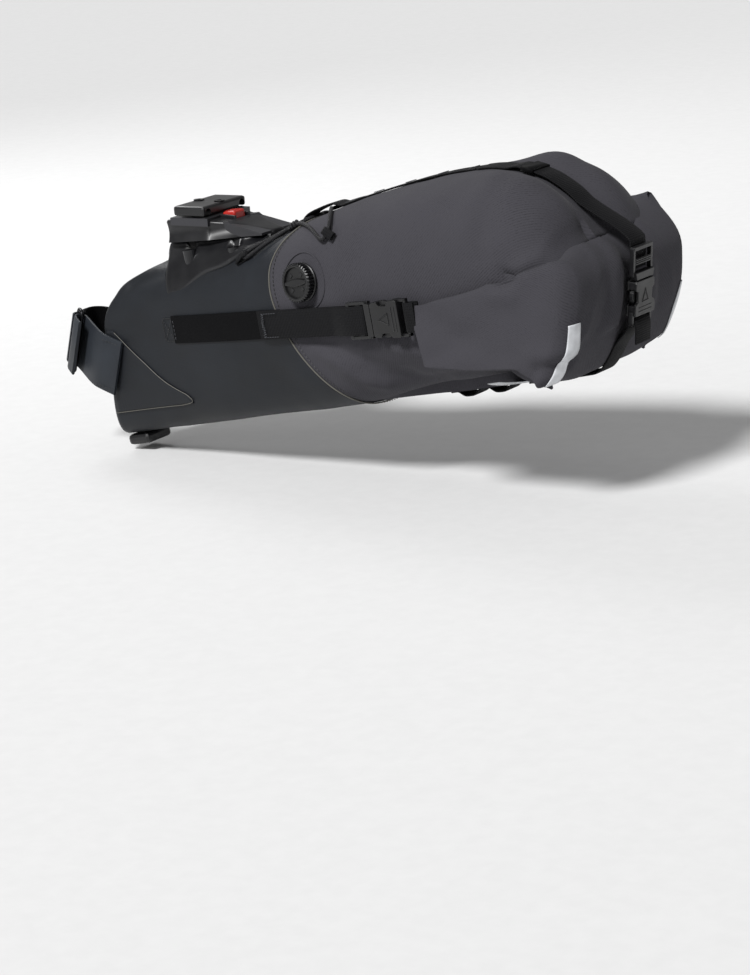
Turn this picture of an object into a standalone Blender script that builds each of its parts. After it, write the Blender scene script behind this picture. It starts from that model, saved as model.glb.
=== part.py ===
"""Roll-top saddle bag with a quick-release saddle adapter, as separate solids.

Frame: +X runs rearwards along the saddle rails, -Y is the left side of the bicycle, +Z is up.
The origin is the middle of the flat platform that the two saddle rails lie on.
All lengths are in metres.
"""
import math

import bmesh
import bpy
import numpy as np
from mathutils import Matrix, Vector

# ---------------------------------------------------------------- driving dimensions
# bag body, in the bag's own pitched frame: u rearwards, y sideways, w up
BAG_PITCH = math.radians(10.0)        # the bag rises towards the rear
BAG_DROP = 0.031                      # the bag frame's origin below the rail platform
BAG_SETBACK = 0.018                   # and behind it
BAG_LENGTH = 0.476                    # foot of the nose to the top edge of the mouth
NOSE_REACH = 0.140                    # foot of the nose ahead of the bag frame's origin
NOSE_WIDTH = 0.060
WAIST_WIDTH = 0.112                   # where the front and main fabrics meet
REAR_WIDTH = 0.150                    # widest place, under the folded wings
BAG_DEPTH = 0.130                     # underside below the bag frame's origin
CROWN_RISE = 0.029                    # highest place of the top above it
SECTION_POWER = 3.2                   # 2 is an ellipse, higher is boxier
WALL = 0.0022                         # coated fabric with its lining and foam
MOUTH_LEAN = 0.040                    # bottom of the mouth ahead of its top
SEAM_U = 0.070                        # foremost place of the seam between the two fabrics
SEAM_GAP = 0.0005
MOUTH_GAP = 0.0012                    # between the mouth's edge and the rolled closure

# rolled closure and its wings
ROLL_THICK = 0.016
WING_THICK = 0.009
WING_REACH = 0.124                    # wing tips ahead of the mouth's top edge
WING_TIP_HEIGHT = 0.045

# webbing and buckles
WEB_WIDTH = 0.022
WEB_THICK = 0.0014
CLEAR = 0.0003                        # gap between pieces that touch
BUCKLE_WIDTH = 0.028
BUCKLE_THICK = 0.0085
LADDER_LENGTH = 0.020
PRONG_LENGTH = 0.018
HOUSING_LENGTH = 0.026
LOOP_BAR = 0.0070                     # length of the end with the webbing slot

# air valve
VALVE_U = 0.107
VALVE_W = -0.026
VALVE_RADIUS = 0.0145
VALVE_BORE = 0.0085
VALVE_FLANGE = 0.0025
CAP_HEIGHT = 0.0065

# quick-release mount: p rearwards and q up, in a frame pitched to the sliding face
MOUNT_PITCH = math.radians(5.0)
MOUNT_DROP = 0.0184                   # sliding face below the rail platform, at p = 0
PLATFORM_LENGTH = 0.036
PLATFORM_WIDTH = 0.056
PLATFORM_THICK = 0.006
RAIL_SPACING = 0.044
RAIL_DIAMETER = 0.007
HEAD_WIDTH = 0.042
HEAD_FRONT = -0.021
HEAD_REAR = 0.064
TONGUE_FRONT = -0.019
TONGUE_REAR = 0.052
TONGUE_NECK = 0.016
TONGUE_WIDTH = 0.024
TONGUE_DEPTH = 0.0040
TONGUE_LIP = 0.0018                   # thickness of the tongue's wide foot
SLIDE_CLEAR = 0.0004
BASE_WIDTH = 0.074
BASE_FRONT = -0.046
BASE_TAIL = 0.078
FLANGE_THICK = 0.0026
BUTTON_LENGTH = 0.012
BUTTON_WIDTH = 0.014
BUTTON_P = 0.0245
PIVOT_P = 0.0345
LEVER_THICK = 0.0025
LEVER_WIDTH = 0.008
PIN_RADIUS = 0.0010
HOOK_P = 0.0455
HOOK_SWING = 0.0048                   # room behind the hook for its swing
LEVER_FRONT = 0.0215
LEVER_PIVOT = (PIVOT_P, 0.0, LEVER_THICK / 2)
DECK_END = 0.0505                     # rear end of the flat sliding deck
BOLT_RADIUS = 0.0025
BOLT_HEAD = 0.0042
BOLT_SPACING = 0.020
PLATE_THICK = 0.009
PLATE_LENGTH = 0.030

# seatpost strap
POST_LEAN = math.radians(16.5)        # seatpost axis from vertical
POST_RADIUS = 0.0158
POST_X = -0.1220                      # seatpost axis where the strap crosses it
POST_Z = -0.1090
STRAP_HEIGHT = 0.046
STRAP_THICK = 0.0024
RING_WIRE = 0.0016

CORD_RADIUS = 0.0015

MOUTH_U = BAG_LENGTH - NOSE_REACH     # top edge of the mouth
RING_POINTS = 32


# ---------------------------------------------------------------- scene, collections and materials
for old in list(bpy.data.objects):
    bpy.data.objects.remove(old, do_unlink=True)

PARTS = bpy.data.collections.new("saddle_bag")
CUTTERS = bpy.data.collections.new("cutters")
bpy.context.scene.collection.children.link(PARTS)
bpy.context.scene.collection.children.link(CUTTERS)


def material(name, colour, roughness, metallic=0.0):
    mat = bpy.data.materials.new(name)
    mat.use_nodes = True
    shader = mat.node_tree.nodes["Principled BSDF"]
    shader.inputs["Base Color"].default_value = (*colour, 1.0)
    shader.inputs["Roughness"].default_value = roughness
    shader.inputs["Metallic"].default_value = metallic
    return mat


LAMINATE = material("coated_laminate", (0.024, 0.028, 0.035), 0.5)
TWILL = material("woven_polyester", (0.060, 0.058, 0.064), 0.8)
WEBBING = material("nylon_webbing", (0.012, 0.012, 0.014), 0.75)
LOOP_PILE = material("loop_tape", (0.008, 0.008, 0.010), 0.95)
ACETAL = material("black_acetal", (0.012, 0.012, 0.013), 0.38)
GREY_NYLON = material("grey_nylon", (0.10, 0.10, 0.11), 0.45)
RED_PLASTIC = material("red_plastic", (0.62, 0.03, 0.02), 0.4)
REFLECTIVE = material("reflective_film", (0.70, 0.70, 0.71), 0.35)
STEEL = material("zinc_plated_steel", (0.55, 0.55, 0.56), 0.35, 1.0)
BLACK_STEEL = material("black_steel", (0.03, 0.03, 0.03), 0.4, 1.0)
STIFF_SHEET = material("polyethylene_sheet", (0.05, 0.05, 0.05), 0.6)
RUBBER = material("elastic_cord", (0.010, 0.010, 0.011), 0.7)


def empty(name, location, pitch, parent=None):
    frame = bpy.data.objects.new(name, None)
    frame.location = location
    frame.rotation_euler = (0.0, -pitch, 0.0)
    frame.parent = parent
    PARTS.objects.link(frame)
    return frame


BAG = empty("bag_frame", (BAG_SETBACK, 0.0, -BAG_DROP), BAG_PITCH)
MOUNT = empty("mount_frame", (0.0, 0.0, -MOUNT_DROP), MOUNT_PITCH)
POST = empty("post_frame", (POST_X, 0.0, POST_Z), -POST_LEAN)
bpy.context.view_layer.update()


def to_bag(point):
    """A world point in the bag frame."""
    return BAG.matrix_world.inverted() @ Vector(point)


# ---------------------------------------------------------------- making and combining objects
def guides_of(obj):
    """Every hidden object that a piece's Booleans use."""
    found = []
    for step in obj.modifiers:
        if step.type == "BOOLEAN":
            found += [step.object] + guides_of(step.object)
    return found


def place(obj, name, mat, parent=None, smooth=None):
    obj.name = name
    obj.data.name = name
    obj.data.materials.clear()
    obj.data.materials.append(mat)
    for collection in list(obj.users_collection):
        collection.objects.unlink(obj)
    PARTS.objects.link(obj)
    for each in [obj] + guides_of(obj):
        each.parent = parent
    if smooth:
        obj.data.shade_smooth()
        obj.data.set_sharp_from_angle(angle=math.radians(smooth))
    return obj


def from_bmesh(bm, name="piece"):
    bmesh.ops.recalc_face_normals(bm, faces=bm.faces)
    mesh = bpy.data.meshes.new(name)
    bm.to_mesh(mesh)
    bm.free()
    obj = bpy.data.objects.new(name, mesh)
    CUTTERS.objects.link(obj)
    return obj


def from_mesh(mesh):
    obj = bpy.data.objects.new("guide", mesh)
    CUTTERS.objects.link(obj)
    return obj


def box(low, high, bevel=0.0, segments=2):
    """A box between two corners, with its edges rounded if bevel is given."""
    bm = bmesh.new()
    bmesh.ops.create_cube(bm, size=1.0)
    size = [b - a for a, b in zip(low, high)]
    middle = [(a + b) / 2 for a, b in zip(low, high)]
    bmesh.ops.scale(bm, vec=size, verts=bm.verts)
    bmesh.ops.translate(bm, vec=middle, verts=bm.verts)
    obj = from_bmesh(bm)
    if bevel:
        rounding = obj.modifiers.new("rounding", "BEVEL")
        rounding.width = bevel
        rounding.segments = segments
    return obj


def cylinder(radius, length, centre, axis="Z", sides=24, top_radius=None):
    bm = bmesh.new()
    bmesh.ops.create_cone(bm, cap_ends=True, segments=sides, radius1=radius,
                          radius2=radius if top_radius is None else top_radius, depth=length)
    turn = {"X": Matrix.Rotation(math.pi / 2, 4, "Y"), "Y": Matrix.Rotation(math.pi / 2, 4, "X"),
            "Z": Matrix.Identity(4)}[axis]
    bmesh.ops.transform(bm, matrix=Matrix.Translation(centre) @ turn, verts=bm.verts)
    return from_bmesh(bm)


def prism(points, half_width):
    """A closed (x, z) outline, extruded both ways along Y."""
    bm = bmesh.new()
    left = [bm.verts.new((x, -half_width, z)) for x, z in points]
    right = [bm.verts.new((x, half_width, z)) for x, z in points]
    bm.faces.new(left)
    bm.faces.new(list(reversed(right)))
    count = len(points)
    for i in range(count):
        bm.faces.new((left[i], right[i], right[(i + 1) % count], left[(i + 1) % count]))
    return from_bmesh(bm)


def combine(obj, other, operation):
    """Boolean of other on obj; other becomes a hidden guide in the cutters collection."""
    other.parent = obj.parent
    step = obj.modifiers.new(operation.lower(), "BOOLEAN")
    step.operation = operation
    step.solver = "EXACT"
    step.object = other
    return obj


def cut(obj, *others):
    for other in others:
        combine(obj, other, "DIFFERENCE")
    return obj


def join(obj, *others):
    for other in others:
        combine(obj, other, "UNION")
    return obj


def pivot_at(obj, point):
    """Move a piece's origin, and its guides' origins, to a point on its hinge."""
    for each in [obj] + guides_of(obj):
        each.data.transform(Matrix.Translation(-Vector(point)))
        each.location = point
    return obj


def thicken(obj, thickness, offset):
    shell = obj.modifiers.new("wall", "SOLIDIFY")
    shell.thickness = thickness
    shell.offset = offset
    shell.use_even_offset = True
    return obj


def ribbon(path, width, thickness, side=0.0, name="ribbon"):
    """A strap of even thickness on its left-hand side, along (u, w) points in the plane y = side."""
    points = [Vector((u, 0.0, w)) for u, w in path]
    bm = bmesh.new()
    rows = []
    for i, point in enumerate(points):
        before = points[max(i - 1, 0)]
        after = points[min(i + 1, len(points) - 1)]
        along = (after - before).normalized()
        if 0 < i < len(points) - 1:
            along = ((after - point).normalized() + (point - before).normalized()).normalized()
        bend = 1.0
        if 0 < i < len(points) - 1:
            turn = (point - before).angle(after - point)
            bend = 1.0 / math.cos(min(turn, 1.6) / 2)
        outward = Vector((-along.z, 0.0, along.x)) * thickness * bend
        rows.append([bm.verts.new(point + shift + Vector((0.0, side + y, 0.0)))
                     for shift in (Vector(), outward) for y in (-width / 2, width / 2)])
    bm.faces.new((rows[0][0], rows[0][1], rows[0][3], rows[0][2]))
    bm.faces.new((rows[-1][0], rows[-1][2], rows[-1][3], rows[-1][1]))
    for a, b in zip(rows, rows[1:]):
        for i, j in ((0, 1), (1, 3), (3, 2), (2, 0)):
            bm.faces.new((a[i], b[i], b[j], a[j]))
    return from_bmesh(bm, name)


def spread(low, high, count):
    return [low + (high - low) * i / (count - 1) for i in range(count)]


def smooth_curve(value, knots):
    """A smooth curve through (position, value) knots, level with its neighbours' slopes."""
    at = [k[0] for k in knots]
    height = [k[1] for k in knots]
    slopes = np.gradient(height, at)
    i = int(np.clip(np.searchsorted(at, value) - 1, 0, len(at) - 2))
    span = at[i + 1] - at[i]
    t = min(max((value - at[i]) / span, 0.0), 1.0)
    a = (1 + 2 * t) * (1 - t) ** 2 * height[i] + t * (1 - t) ** 2 * span * slopes[i]
    return float(a + t * t * (3 - 2 * t) * height[i + 1] - t * t * (1 - t) * span * slopes[i + 1])


# ---------------------------------------------------------------- outer surface of the bag
FLAT_END = 0.058                      # the top is nearly level as far as here, under the mount
RISE = MOUTH_U - FLAT_END
TOP_KNOTS = [(-NOSE_REACH, -0.001), (-0.060, 0.002), (0.0, 0.0035), (FLAT_END, 0.0065),
             (FLAT_END + 0.13 * RISE, 0.0150), (FLAT_END + 0.26 * RISE, 0.0215),
             (FLAT_END + 0.42 * RISE, 0.0265), (FLAT_END + 0.62 * RISE, CROWN_RISE),
             (FLAT_END + 0.75 * RISE, CROWN_RISE - 0.003), (MOUTH_U - 0.049, CROWN_RISE - 0.010),
             (MOUTH_U - 0.030, CROWN_RISE - 0.021), (MOUTH_U - 0.013, CROWN_RISE - 0.039),
             (MOUTH_U, CROWN_RISE - 0.063)]
HALF_KNOTS = [(-NOSE_REACH, NOSE_WIDTH / 2), (-0.060, NOSE_WIDTH / 2 + 0.007),
              (0.0, WAIST_WIDTH / 2 - 0.009), (SEAM_U, WAIST_WIDTH / 2),
              (0.45 * MOUTH_U, WAIST_WIDTH / 4 + REAR_WIDTH / 4 + 0.002),
              (0.66 * MOUTH_U, REAR_WIDTH / 2 - 0.001), (MOUTH_U - 0.050, REAR_WIDTH / 2),
              (MOUTH_U - 0.024, REAR_WIDTH / 2 - 0.003), (MOUTH_U, REAR_WIDTH / 2 - 0.012)]
NOSE_KNOTS = [(0.0, -NOSE_REACH), (0.45, -NOSE_REACH + 0.016), (0.86, -NOSE_REACH + 0.032),
              (0.95, -NOSE_REACH + 0.050), (1.0, -NOSE_REACH + 0.076)]
SEAM_KNOTS = [(0.0, 0.054), (0.2, 0.031), (0.4, 0.013), (0.59, 0.003), (0.76, 0.0),
              (0.87, 0.003), (0.95, 0.012), (1.0, 0.025)]


def top(u):
    return smooth_curve(u, TOP_KNOTS)


def half(u):
    return smooth_curve(u, HALF_KNOTS)


def power(value):
    return math.copysign(abs(value) ** (2.0 / SECTION_POWER), value)


def surface(u, angle, grow=0.0):
    """The point of the outer surface at u, with the angle counted from the right side."""
    middle = (top(u) - BAG_DEPTH) / 2
    tall = (top(u) + BAG_DEPTH) / 2 + grow
    return Vector((u, (half(u) + grow) * power(math.cos(angle)), middle + tall * power(math.sin(angle))))


def height_at(u, y):
    """Height of the top surface over (u, y)."""
    share = min(abs(y) / half(u), 0.999)
    middle = (top(u) - BAG_DEPTH) / 2
    return middle + (top(u) - middle) * (1 - share ** SECTION_POWER) ** (1 / SECTION_POWER)


def side_at(u, w):
    """Distance of the side surface from the middle plane at (u, w)."""
    middle = (top(u) - BAG_DEPTH) / 2
    share = min(abs(w - middle) / (top(u) - middle), 0.999)
    return half(u) * (1 - share ** SECTION_POWER) ** (1 / SECTION_POWER)


def share_of(u, angle):
    """How high up its section a surface point is, from 0 at the underside to 1 at the top."""
    return (surface(u, angle).z + BAG_DEPTH) / (top(u) + BAG_DEPTH)


def nose_u(angle):
    return smooth_curve(share_of(-0.100, angle), NOSE_KNOTS)


def seam_u(angle):
    return SEAM_U + smooth_curve(share_of(SEAM_U + 0.02, angle), SEAM_KNOTS)


def mouth_at(w):
    """The mouth's edge at height w: it leans forward towards the bottom."""
    rim = CROWN_RISE - 0.063
    return MOUTH_U - MOUTH_LEAN * max((rim - w) / (rim + BAG_DEPTH), 0.0) ** 2.2


def mouth_u(angle):
    u = MOUTH_U
    for _ in range(30):
        u = 0.5 * u + 0.5 * mouth_at(surface(u, angle).z)
    return u


ANGLES = [-math.pi / 2 + 2 * math.pi * i / RING_POINTS for i in range(RING_POINTS)]


def loft(rings, close_start=False, close_end=False):
    """A surface through rings of equal point counts; an end closes with strips across its ring."""
    bm = bmesh.new()
    rows = [[bm.verts.new(point) for point in ring] for ring in rings]
    count = len(rows[0])
    for a, b in zip(rows, rows[1:]):
        for i in range(count):
            j = (i + 1) % count
            bm.faces.new((a[i], a[j], b[j], b[i]))
    for row in [rows[0]] * close_start + [rows[-1]] * close_end:
        bm.faces.new((row[0], row[1], row[-1]))
        for i in range(1, count // 2 - 1):
            bm.faces.new((row[i], row[i + 1], row[count - i - 1], row[count - i]))
        bm.faces.new((row[count // 2 - 1], row[count // 2], row[count // 2 + 1]))
    return from_bmesh(bm)


def body_rings(start, end, count):
    """Rings between two edges, each edge given as a function of the angle."""
    rings = []
    for t in spread(0.0, 1.0, count):
        rings.append([surface(start(a) * (1 - t) + end(a) * t, a) for a in ANGLES])
    return rings


def front_shell():
    rings = body_rings(nose_u, lambda a: seam_u(a) - SEAM_GAP, 15)
    obj = thicken(loft(rings, close_start=True), WALL, -1.0)
    return place(obj, "front_shell", LAMINATE, BAG, smooth=50)


def main_shell():
    obj = thicken(loft(body_rings(seam_u, mouth_u, 13)), WALL, -1.0)
    cut(obj, valve_hole())
    return place(obj, "main_shell", TWILL, BAG, smooth=50)


def bag_filler(start_u, end_u, grow):
    """A closed body with the bag's outer shape between two stations, to cut what lies on it."""
    rings = [[surface(u, a, grow) for a in ANGLES] for u in spread(start_u, end_u, 24)]
    return loft(rings, close_start=True, close_end=True)


# ---------------------------------------------------------------- rolled closure with its wings
WING_Y = REAR_WIDTH / 2 + 0.0012 + WING_THICK / 2
CORNER = 0.010
SECTION_SIDES = 16


def roll_station(u, y, heading, thick, low, high, lean):
    """One upright rounded section of the roll; heading turns its thickness from Y to X."""
    ring = []
    for i in range(SECTION_SIDES):
        angle = -math.pi / 2 + 2 * math.pi * i / SECTION_SIDES
        across = math.copysign(abs(math.cos(angle)) ** 0.55, math.cos(angle)) * thick / 2
        w = (low + high) / 2 + math.copysign(abs(math.sin(angle)) ** 0.55, math.sin(angle)) * (high - low) / 2
        slope = lean * (mouth_at(w) - mouth_at(-0.075))
        ring.append(Vector((u + slope + across * math.sin(heading), y - across * math.cos(heading), w)))
    return ring


def roll_rings():
    rear = mouth_at(-0.075) + MOUTH_GAP + ROLL_THICK / 2
    tip = MOUTH_U - WING_REACH
    half_path = [(tip, WING_Y, 0.0, WING_THICK * 0.75, -0.056 - WING_TIP_HEIGHT, -0.056, 0.0),
                 (tip + 0.045, WING_Y, 0.0, WING_THICK, -0.108, -0.053, 0.0),
                 (tip + 0.082, WING_Y, 0.0, WING_THICK, -0.117, -0.049, 0.6)]
    for turn in (0.0, 30.0, 60.0, 90.0):
        a = math.radians(turn)
        thick = WING_THICK + (ROLL_THICK - WING_THICK) * turn / 90.0
        half_path.append((rear - CORNER + CORNER * math.sin(a), WING_Y - CORNER + CORNER * math.cos(a), a,
                          thick, -0.124, -0.036, 1.0))
    for y in (0.045, 0.020):
        half_path.append((rear, y, math.pi / 2, ROLL_THICK, -0.127, -0.037, 1.0))
    left = [roll_station(u, -y, heading, *rest) for u, y, heading, *rest in half_path]
    right = [[Vector((p.x, -p.y, p.z)) for p in ring] for ring in reversed(left)]
    return left + right


# ---------------------------------------------------------------- build in order of the list
def valve_frame():
    """Where the valve stands on the left side, and its outward axis."""
    y = -side_at(VALVE_U, VALVE_W)
    step = 0.004
    du = Vector((2 * step, -side_at(VALVE_U + step, VALVE_W) + side_at(VALVE_U - step, VALVE_W), 0.0))
    dw = Vector((0.0, -side_at(VALVE_U, VALVE_W + step) + side_at(VALVE_U, VALVE_W - step), 2 * step))
    out = du.cross(dw).normalized()
    if out.y > 0:
        out = -out
    frame = Matrix.Translation((VALVE_U, y, VALVE_W)) @ out.to_track_quat("Z", "Y").to_matrix().to_4x4()
    return frame


def valve_hole():
    hole = cylinder(VALVE_BORE + CLEAR, 0.02, (0, 0, 0), sides=24)
    hole.data.transform(valve_frame())
    return hole


# ---------------------------------------------------------------- webbing on the sides, with its buckle
TAPE_START = -0.042                   # front end of the loop tape
TAPE_END = SEAM_U + 0.006
HOOK_START = SEAM_U - 0.016           # front end of the hook-backed webbing
TAPE_THICK = 0.0015
STRAP_FALL = 0.052                    # the side strap falls this much per unit of length
SIDE_JOINT_U = MOUTH_U - WING_REACH - 0.0045 - HOUSING_LENGTH - LOOP_BAR
BAR_HALF = 0.00175                    # half thickness of the ladder and loop bars
LAYER = BAR_HALF + CLEAR + WEB_THICK  # outer face of the webbing that wraps a bar


def strap_w(u):
    return -0.0485 - STRAP_FALL * (u - TAPE_START)


def strap_d(u):
    """Distance of the bag's side from the middle plane under the side strap."""
    return side_at(u, strap_w(u))


SIDE_TILT = math.atan2(strap_d(SIDE_JOINT_U + 0.02) - strap_d(SIDE_JOINT_U - 0.02), 0.04)
SIDE_JOINT_D = strap_d(SIDE_JOINT_U) + BUCKLE_THICK / 2 + 0.0022


def buckle_plane(length, out):
    """A point of the side buckle's own plane, as (u, distance from the middle plane)."""
    return (SIDE_JOINT_U + length * math.cos(SIDE_TILT) - out * math.sin(SIDE_TILT),
            SIDE_JOINT_D + length * math.sin(SIDE_TILT) + out * math.cos(SIDE_TILT))


def lay_on_side(obj, side):
    """Turn a ribbon made in (u, w) into one that lies on the bag's side, along the strap line."""
    bm = bmesh.new()
    bm.from_mesh(obj.data)
    for vert in bm.verts:
        u, across, out = vert.co
        vert.co = (u + across * STRAP_FALL, side * out, strap_w(u) + across)
    if side > 0:
        bmesh.ops.reverse_faces(bm, faces=bm.faces)
    bm.to_mesh(obj.data)
    bm.free()
    return obj


def side_frame(side):
    """The side buckle's frame: x along the strap, z out of the bag."""
    along = Vector((math.cos(SIDE_TILT), side * math.sin(SIDE_TILT), -STRAP_FALL)).normalized()
    out = Vector((-math.sin(SIDE_TILT), side * math.cos(SIDE_TILT), 0.0)).normalized()
    across = out.cross(along)
    frame = Matrix((along, across, out)).transposed().to_4x4()
    frame.translation = (SIDE_JOINT_U, side * SIDE_JOINT_D, strap_w(SIDE_JOINT_U))
    return frame


def loop_tape(side):
    path = [(u, strap_d(u) + CLEAR) for u in spread(TAPE_START, TAPE_END, 10)]
    return lay_on_side(ribbon(path, WEB_WIDTH, TAPE_THICK), side)


def side_webbing(side):
    """Hook-backed webbing that runs to the ladder, wraps its bar and returns on top."""
    lift = 2 * CLEAR + TAPE_THICK
    under = [(u, strap_d(u) + lift) for u in spread(HOOK_START, SIDE_JOINT_U - 0.040, 8)]
    turn = [(-0.024, -LAYER), (-0.0092, -LAYER), (-0.0078, -LAYER + 0.0014), (-0.0078, LAYER - 0.0014),
            (-0.0092, LAYER), (-0.026, LAYER)]
    wrap = [buckle_plane(*point) for point in turn]
    back = [(u, strap_d(u) + lift + 2 * WEB_THICK + CLEAR) for u in
            spread(SIDE_JOINT_U - 0.042, HOOK_START + 0.004, 7)]
    return lay_on_side(ribbon(under + wrap + back, WEB_WIDTH, WEB_THICK), side)


def wing_tab(side):
    """Webbing loop that ties the buckle to the tip of the wing."""
    end = HOUSING_LENGTH + LOOP_BAR + 0.0036
    slot = HOUSING_LENGTH + LOOP_BAR - 0.0025 - CLEAR
    inner = BAR_HALF + CLEAR
    turn = [(end, -inner), (slot, -inner), (slot, inner), (end, inner)]
    return lay_on_side(ribbon([buckle_plane(*point) for point in turn], WEB_WIDTH, WEB_THICK), side)


def buckle_male():
    """Adjuster half: a ladder with two slots, a shoulder, two prongs and a guide."""
    half_wide = BUCKLE_WIDTH / 2
    slot = WEB_WIDTH / 2 + 0.0006
    body = box((-LADDER_LENGTH - 0.004, -half_wide, -BAR_HALF), (-0.0025, half_wide, BAR_HALF), 0.0008, 1)
    shoulder = box((-0.0048, -half_wide + 0.001, -BAR_HALF), (-CLEAR, half_wide - 0.001, 0.0036))
    guide = box((-0.002, -0.0013, -0.0015), (PRONG_LENGTH - 0.004, 0.0013, 0.0015))
    prongs = [box((-0.002, min(a, b), -0.0015), (PRONG_LENGTH, max(a, b), 0.0015))
              for a, b in ((0.0066, 0.0099), (-0.0066, -0.0099))]
    slots = [box((a, -slot, -0.01), (b, slot, 0.01)) for a, b in ((-0.0212, -0.0158), (-0.0106, -0.0060))]
    return cut(join(body, shoulder, guide, *prongs), *slots)


def buckle_female():
    """Housing half: open mouth, side windows for the prongs and a bar for the webbing."""
    half_wide = BUCKLE_WIDTH / 2
    half_thick = BUCKLE_THICK / 2
    slot = WEB_WIDTH / 2 + 0.0006
    end = HOUSING_LENGTH + LOOP_BAR
    body = box((CLEAR, -half_wide, -half_thick), (HOUSING_LENGTH, half_wide, half_thick), 0.0016, 2)
    bar = box((HOUSING_LENGTH - 0.003, -half_wide, -BAR_HALF), (end, half_wide, BAR_HALF))
    cavity = box((-0.001, -0.0104, -0.0024), (PRONG_LENGTH + 0.003, 0.0104, 0.0024))
    windows = [box((0.008, min(a, b), -0.0026), (0.016, max(a, b), 0.0026))
               for a, b in ((0.0095, 0.02), (-0.0095, -0.02))]
    eye = box((0.009, -0.003, 0.001), (0.015, 0.003, 0.01))
    web_slot = box((end - 0.0058, -slot, -0.01), (end - 0.0025, slot, 0.01))
    return cut(join(body, bar), cavity, eye, web_slot, *windows)


def in_frame(obj, frame, parent):
    """Set a piece and its hidden guides down in a frame under a parent."""
    for each in [obj] + guides_of(obj):
        each.data.transform(frame)
        each.parent = parent
    return obj


# ---------------------------------------------------------------- straps over the rear
ROLL_FACE = mouth_at(-0.075) + MOUTH_GAP + ROLL_THICK
REAR_LEAN = math.radians(15.0)
REAR_JOINT_W = -0.068


def roll_face(w):
    return ROLL_FACE + mouth_at(w) - mouth_at(-0.075)


REAR_JOINT = Vector((roll_face(REAR_JOINT_W) + BUCKLE_THICK / 2 + 0.0022, 0.0, REAR_JOINT_W))
REAR_DOWN = Vector((-math.sin(REAR_LEAN), 0.0, -math.cos(REAR_LEAN)))
REAR_OUT = Vector((math.cos(REAR_LEAN), 0.0, -math.sin(REAR_LEAN)))


def rear_plane(length, out):
    point = REAR_JOINT + REAR_DOWN * length + REAR_OUT * out
    return (point.x, point.z)


def rear_frame():
    frame = Matrix((REAR_DOWN, REAR_OUT.cross(REAR_DOWN), REAR_OUT)).transposed().to_4x4()
    frame.translation = REAR_JOINT
    return frame


DAISY_START = FLAT_END + 0.022
DAISY_END = MOUTH_U - 0.093
KEEPER_U = MOUTH_U - 0.052


def daisy_lift(u):
    """The top webbing stands off the fabric where the cord passes under it."""
    return CLEAR + 0.0050 * math.exp(-((u - 0.0975) / 0.0175) ** 6)


def daisy_webbing():
    path = [(u, top(u) + daisy_lift(u)) for u in spread(DAISY_START, 0.120, 21)]
    path += [(u, top(u) + CLEAR) for u in spread(0.128, DAISY_END, 12)]
    return ribbon(path, 0.018, WEB_THICK)


def rear_strap_upper():
    lift = 0.0005
    path = [(u, top(u) + lift) for u in spread(DAISY_END + 0.002, KEEPER_U - 0.014, 4)]
    path += [(u, top(u) + 0.0032) for u in spread(KEEPER_U - 0.006, MOUTH_U - 0.012, 6)]
    path += [rear_plane(-0.031, -LAYER - 0.0012), rear_plane(-0.024, -LAYER), rear_plane(-0.007, -LAYER)]
    return ribbon(path, WEB_WIDTH, WEB_THICK)


def rear_strap_lower():
    slot = HOUSING_LENGTH + LOOP_BAR - 0.0025 - CLEAR - WEB_THICK
    path = [rear_plane(slot + 0.018, LAYER), rear_plane(slot, LAYER), rear_plane(slot, -LAYER),
            rear_plane(slot + 0.006, -LAYER)]
    path += [(roll_face(w) + CLEAR, w) for w in (-0.112, -0.119)]
    path += [(roll_face(-0.126) - 0.002, -0.128), (roll_face(-0.126) - 0.0075, -0.1325),
             (MOUTH_U - 0.066, -BAG_DEPTH - 0.0012), (MOUTH_U - 0.085, -BAG_DEPTH - 0.0006)]
    return ribbon(path, WEB_WIDTH, WEB_THICK)


def strap_keeper():
    """Elastic loop round the upper rear strap."""
    u = KEEPER_U + 0.004
    slope = math.atan2(top(u + 0.004) - top(u - 0.004), 0.008)
    base = Vector((u, 0.0, top(u) + 0.0032))
    frame = Matrix.Translation(base) @ Matrix.Rotation(-slope, 4, "Y")
    inner = WEB_WIDTH / 2 + 0.0008
    band = box((-0.005, -inner - 0.0012, -0.0018), (0.005, inner + 0.0012, WEB_THICK + 0.0018), 0.0005, 1)
    ring = cut(band, box((-0.01, -inner, -0.0006), (0.01, inner, WEB_THICK + 0.0006)))
    return in_frame(ring, frame, BAG)


def under_webbing():
    """Webbing along the underside, with three open loops."""
    path = []
    for u in spread(MOUTH_U - 0.095, 0.180, 19):
        hump = sum(math.exp(-((u - at) / 0.0075) ** 4) for at in (0.196, 0.224, 0.252 - 0.336 + MOUTH_U))
        path.append((u, -BAG_DEPTH - CLEAR - 0.0042 * min(hump, 1.0)))
    return ribbon(path, 0.018, WEB_THICK)


# ---------------------------------------------------------------- elastic cord on the top
KNOT = Vector((0.082, 0.0185))
FRONT_TAB = Vector((0.0445, 0.0360))
REAR_TAB = Vector((0.1345, 0.0540))
RUN_HALF = 0.0034                     # half the spacing of the two runs to the front tab
CORD_LIFT = CORD_RADIUS + 0.0009


def surface_frame(u, y):
    """The top surface's point and outward direction over (u, y)."""
    step = 0.002
    point = Vector((u, y, height_at(u, y)))
    du = Vector((2 * step, 0.0, height_at(u + step, y) - height_at(u - step, y)))
    dy = Vector((0.0, 2 * step, height_at(u, y + step) - height_at(u, y - step)))
    return point, du.cross(dy).normalized()


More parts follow.
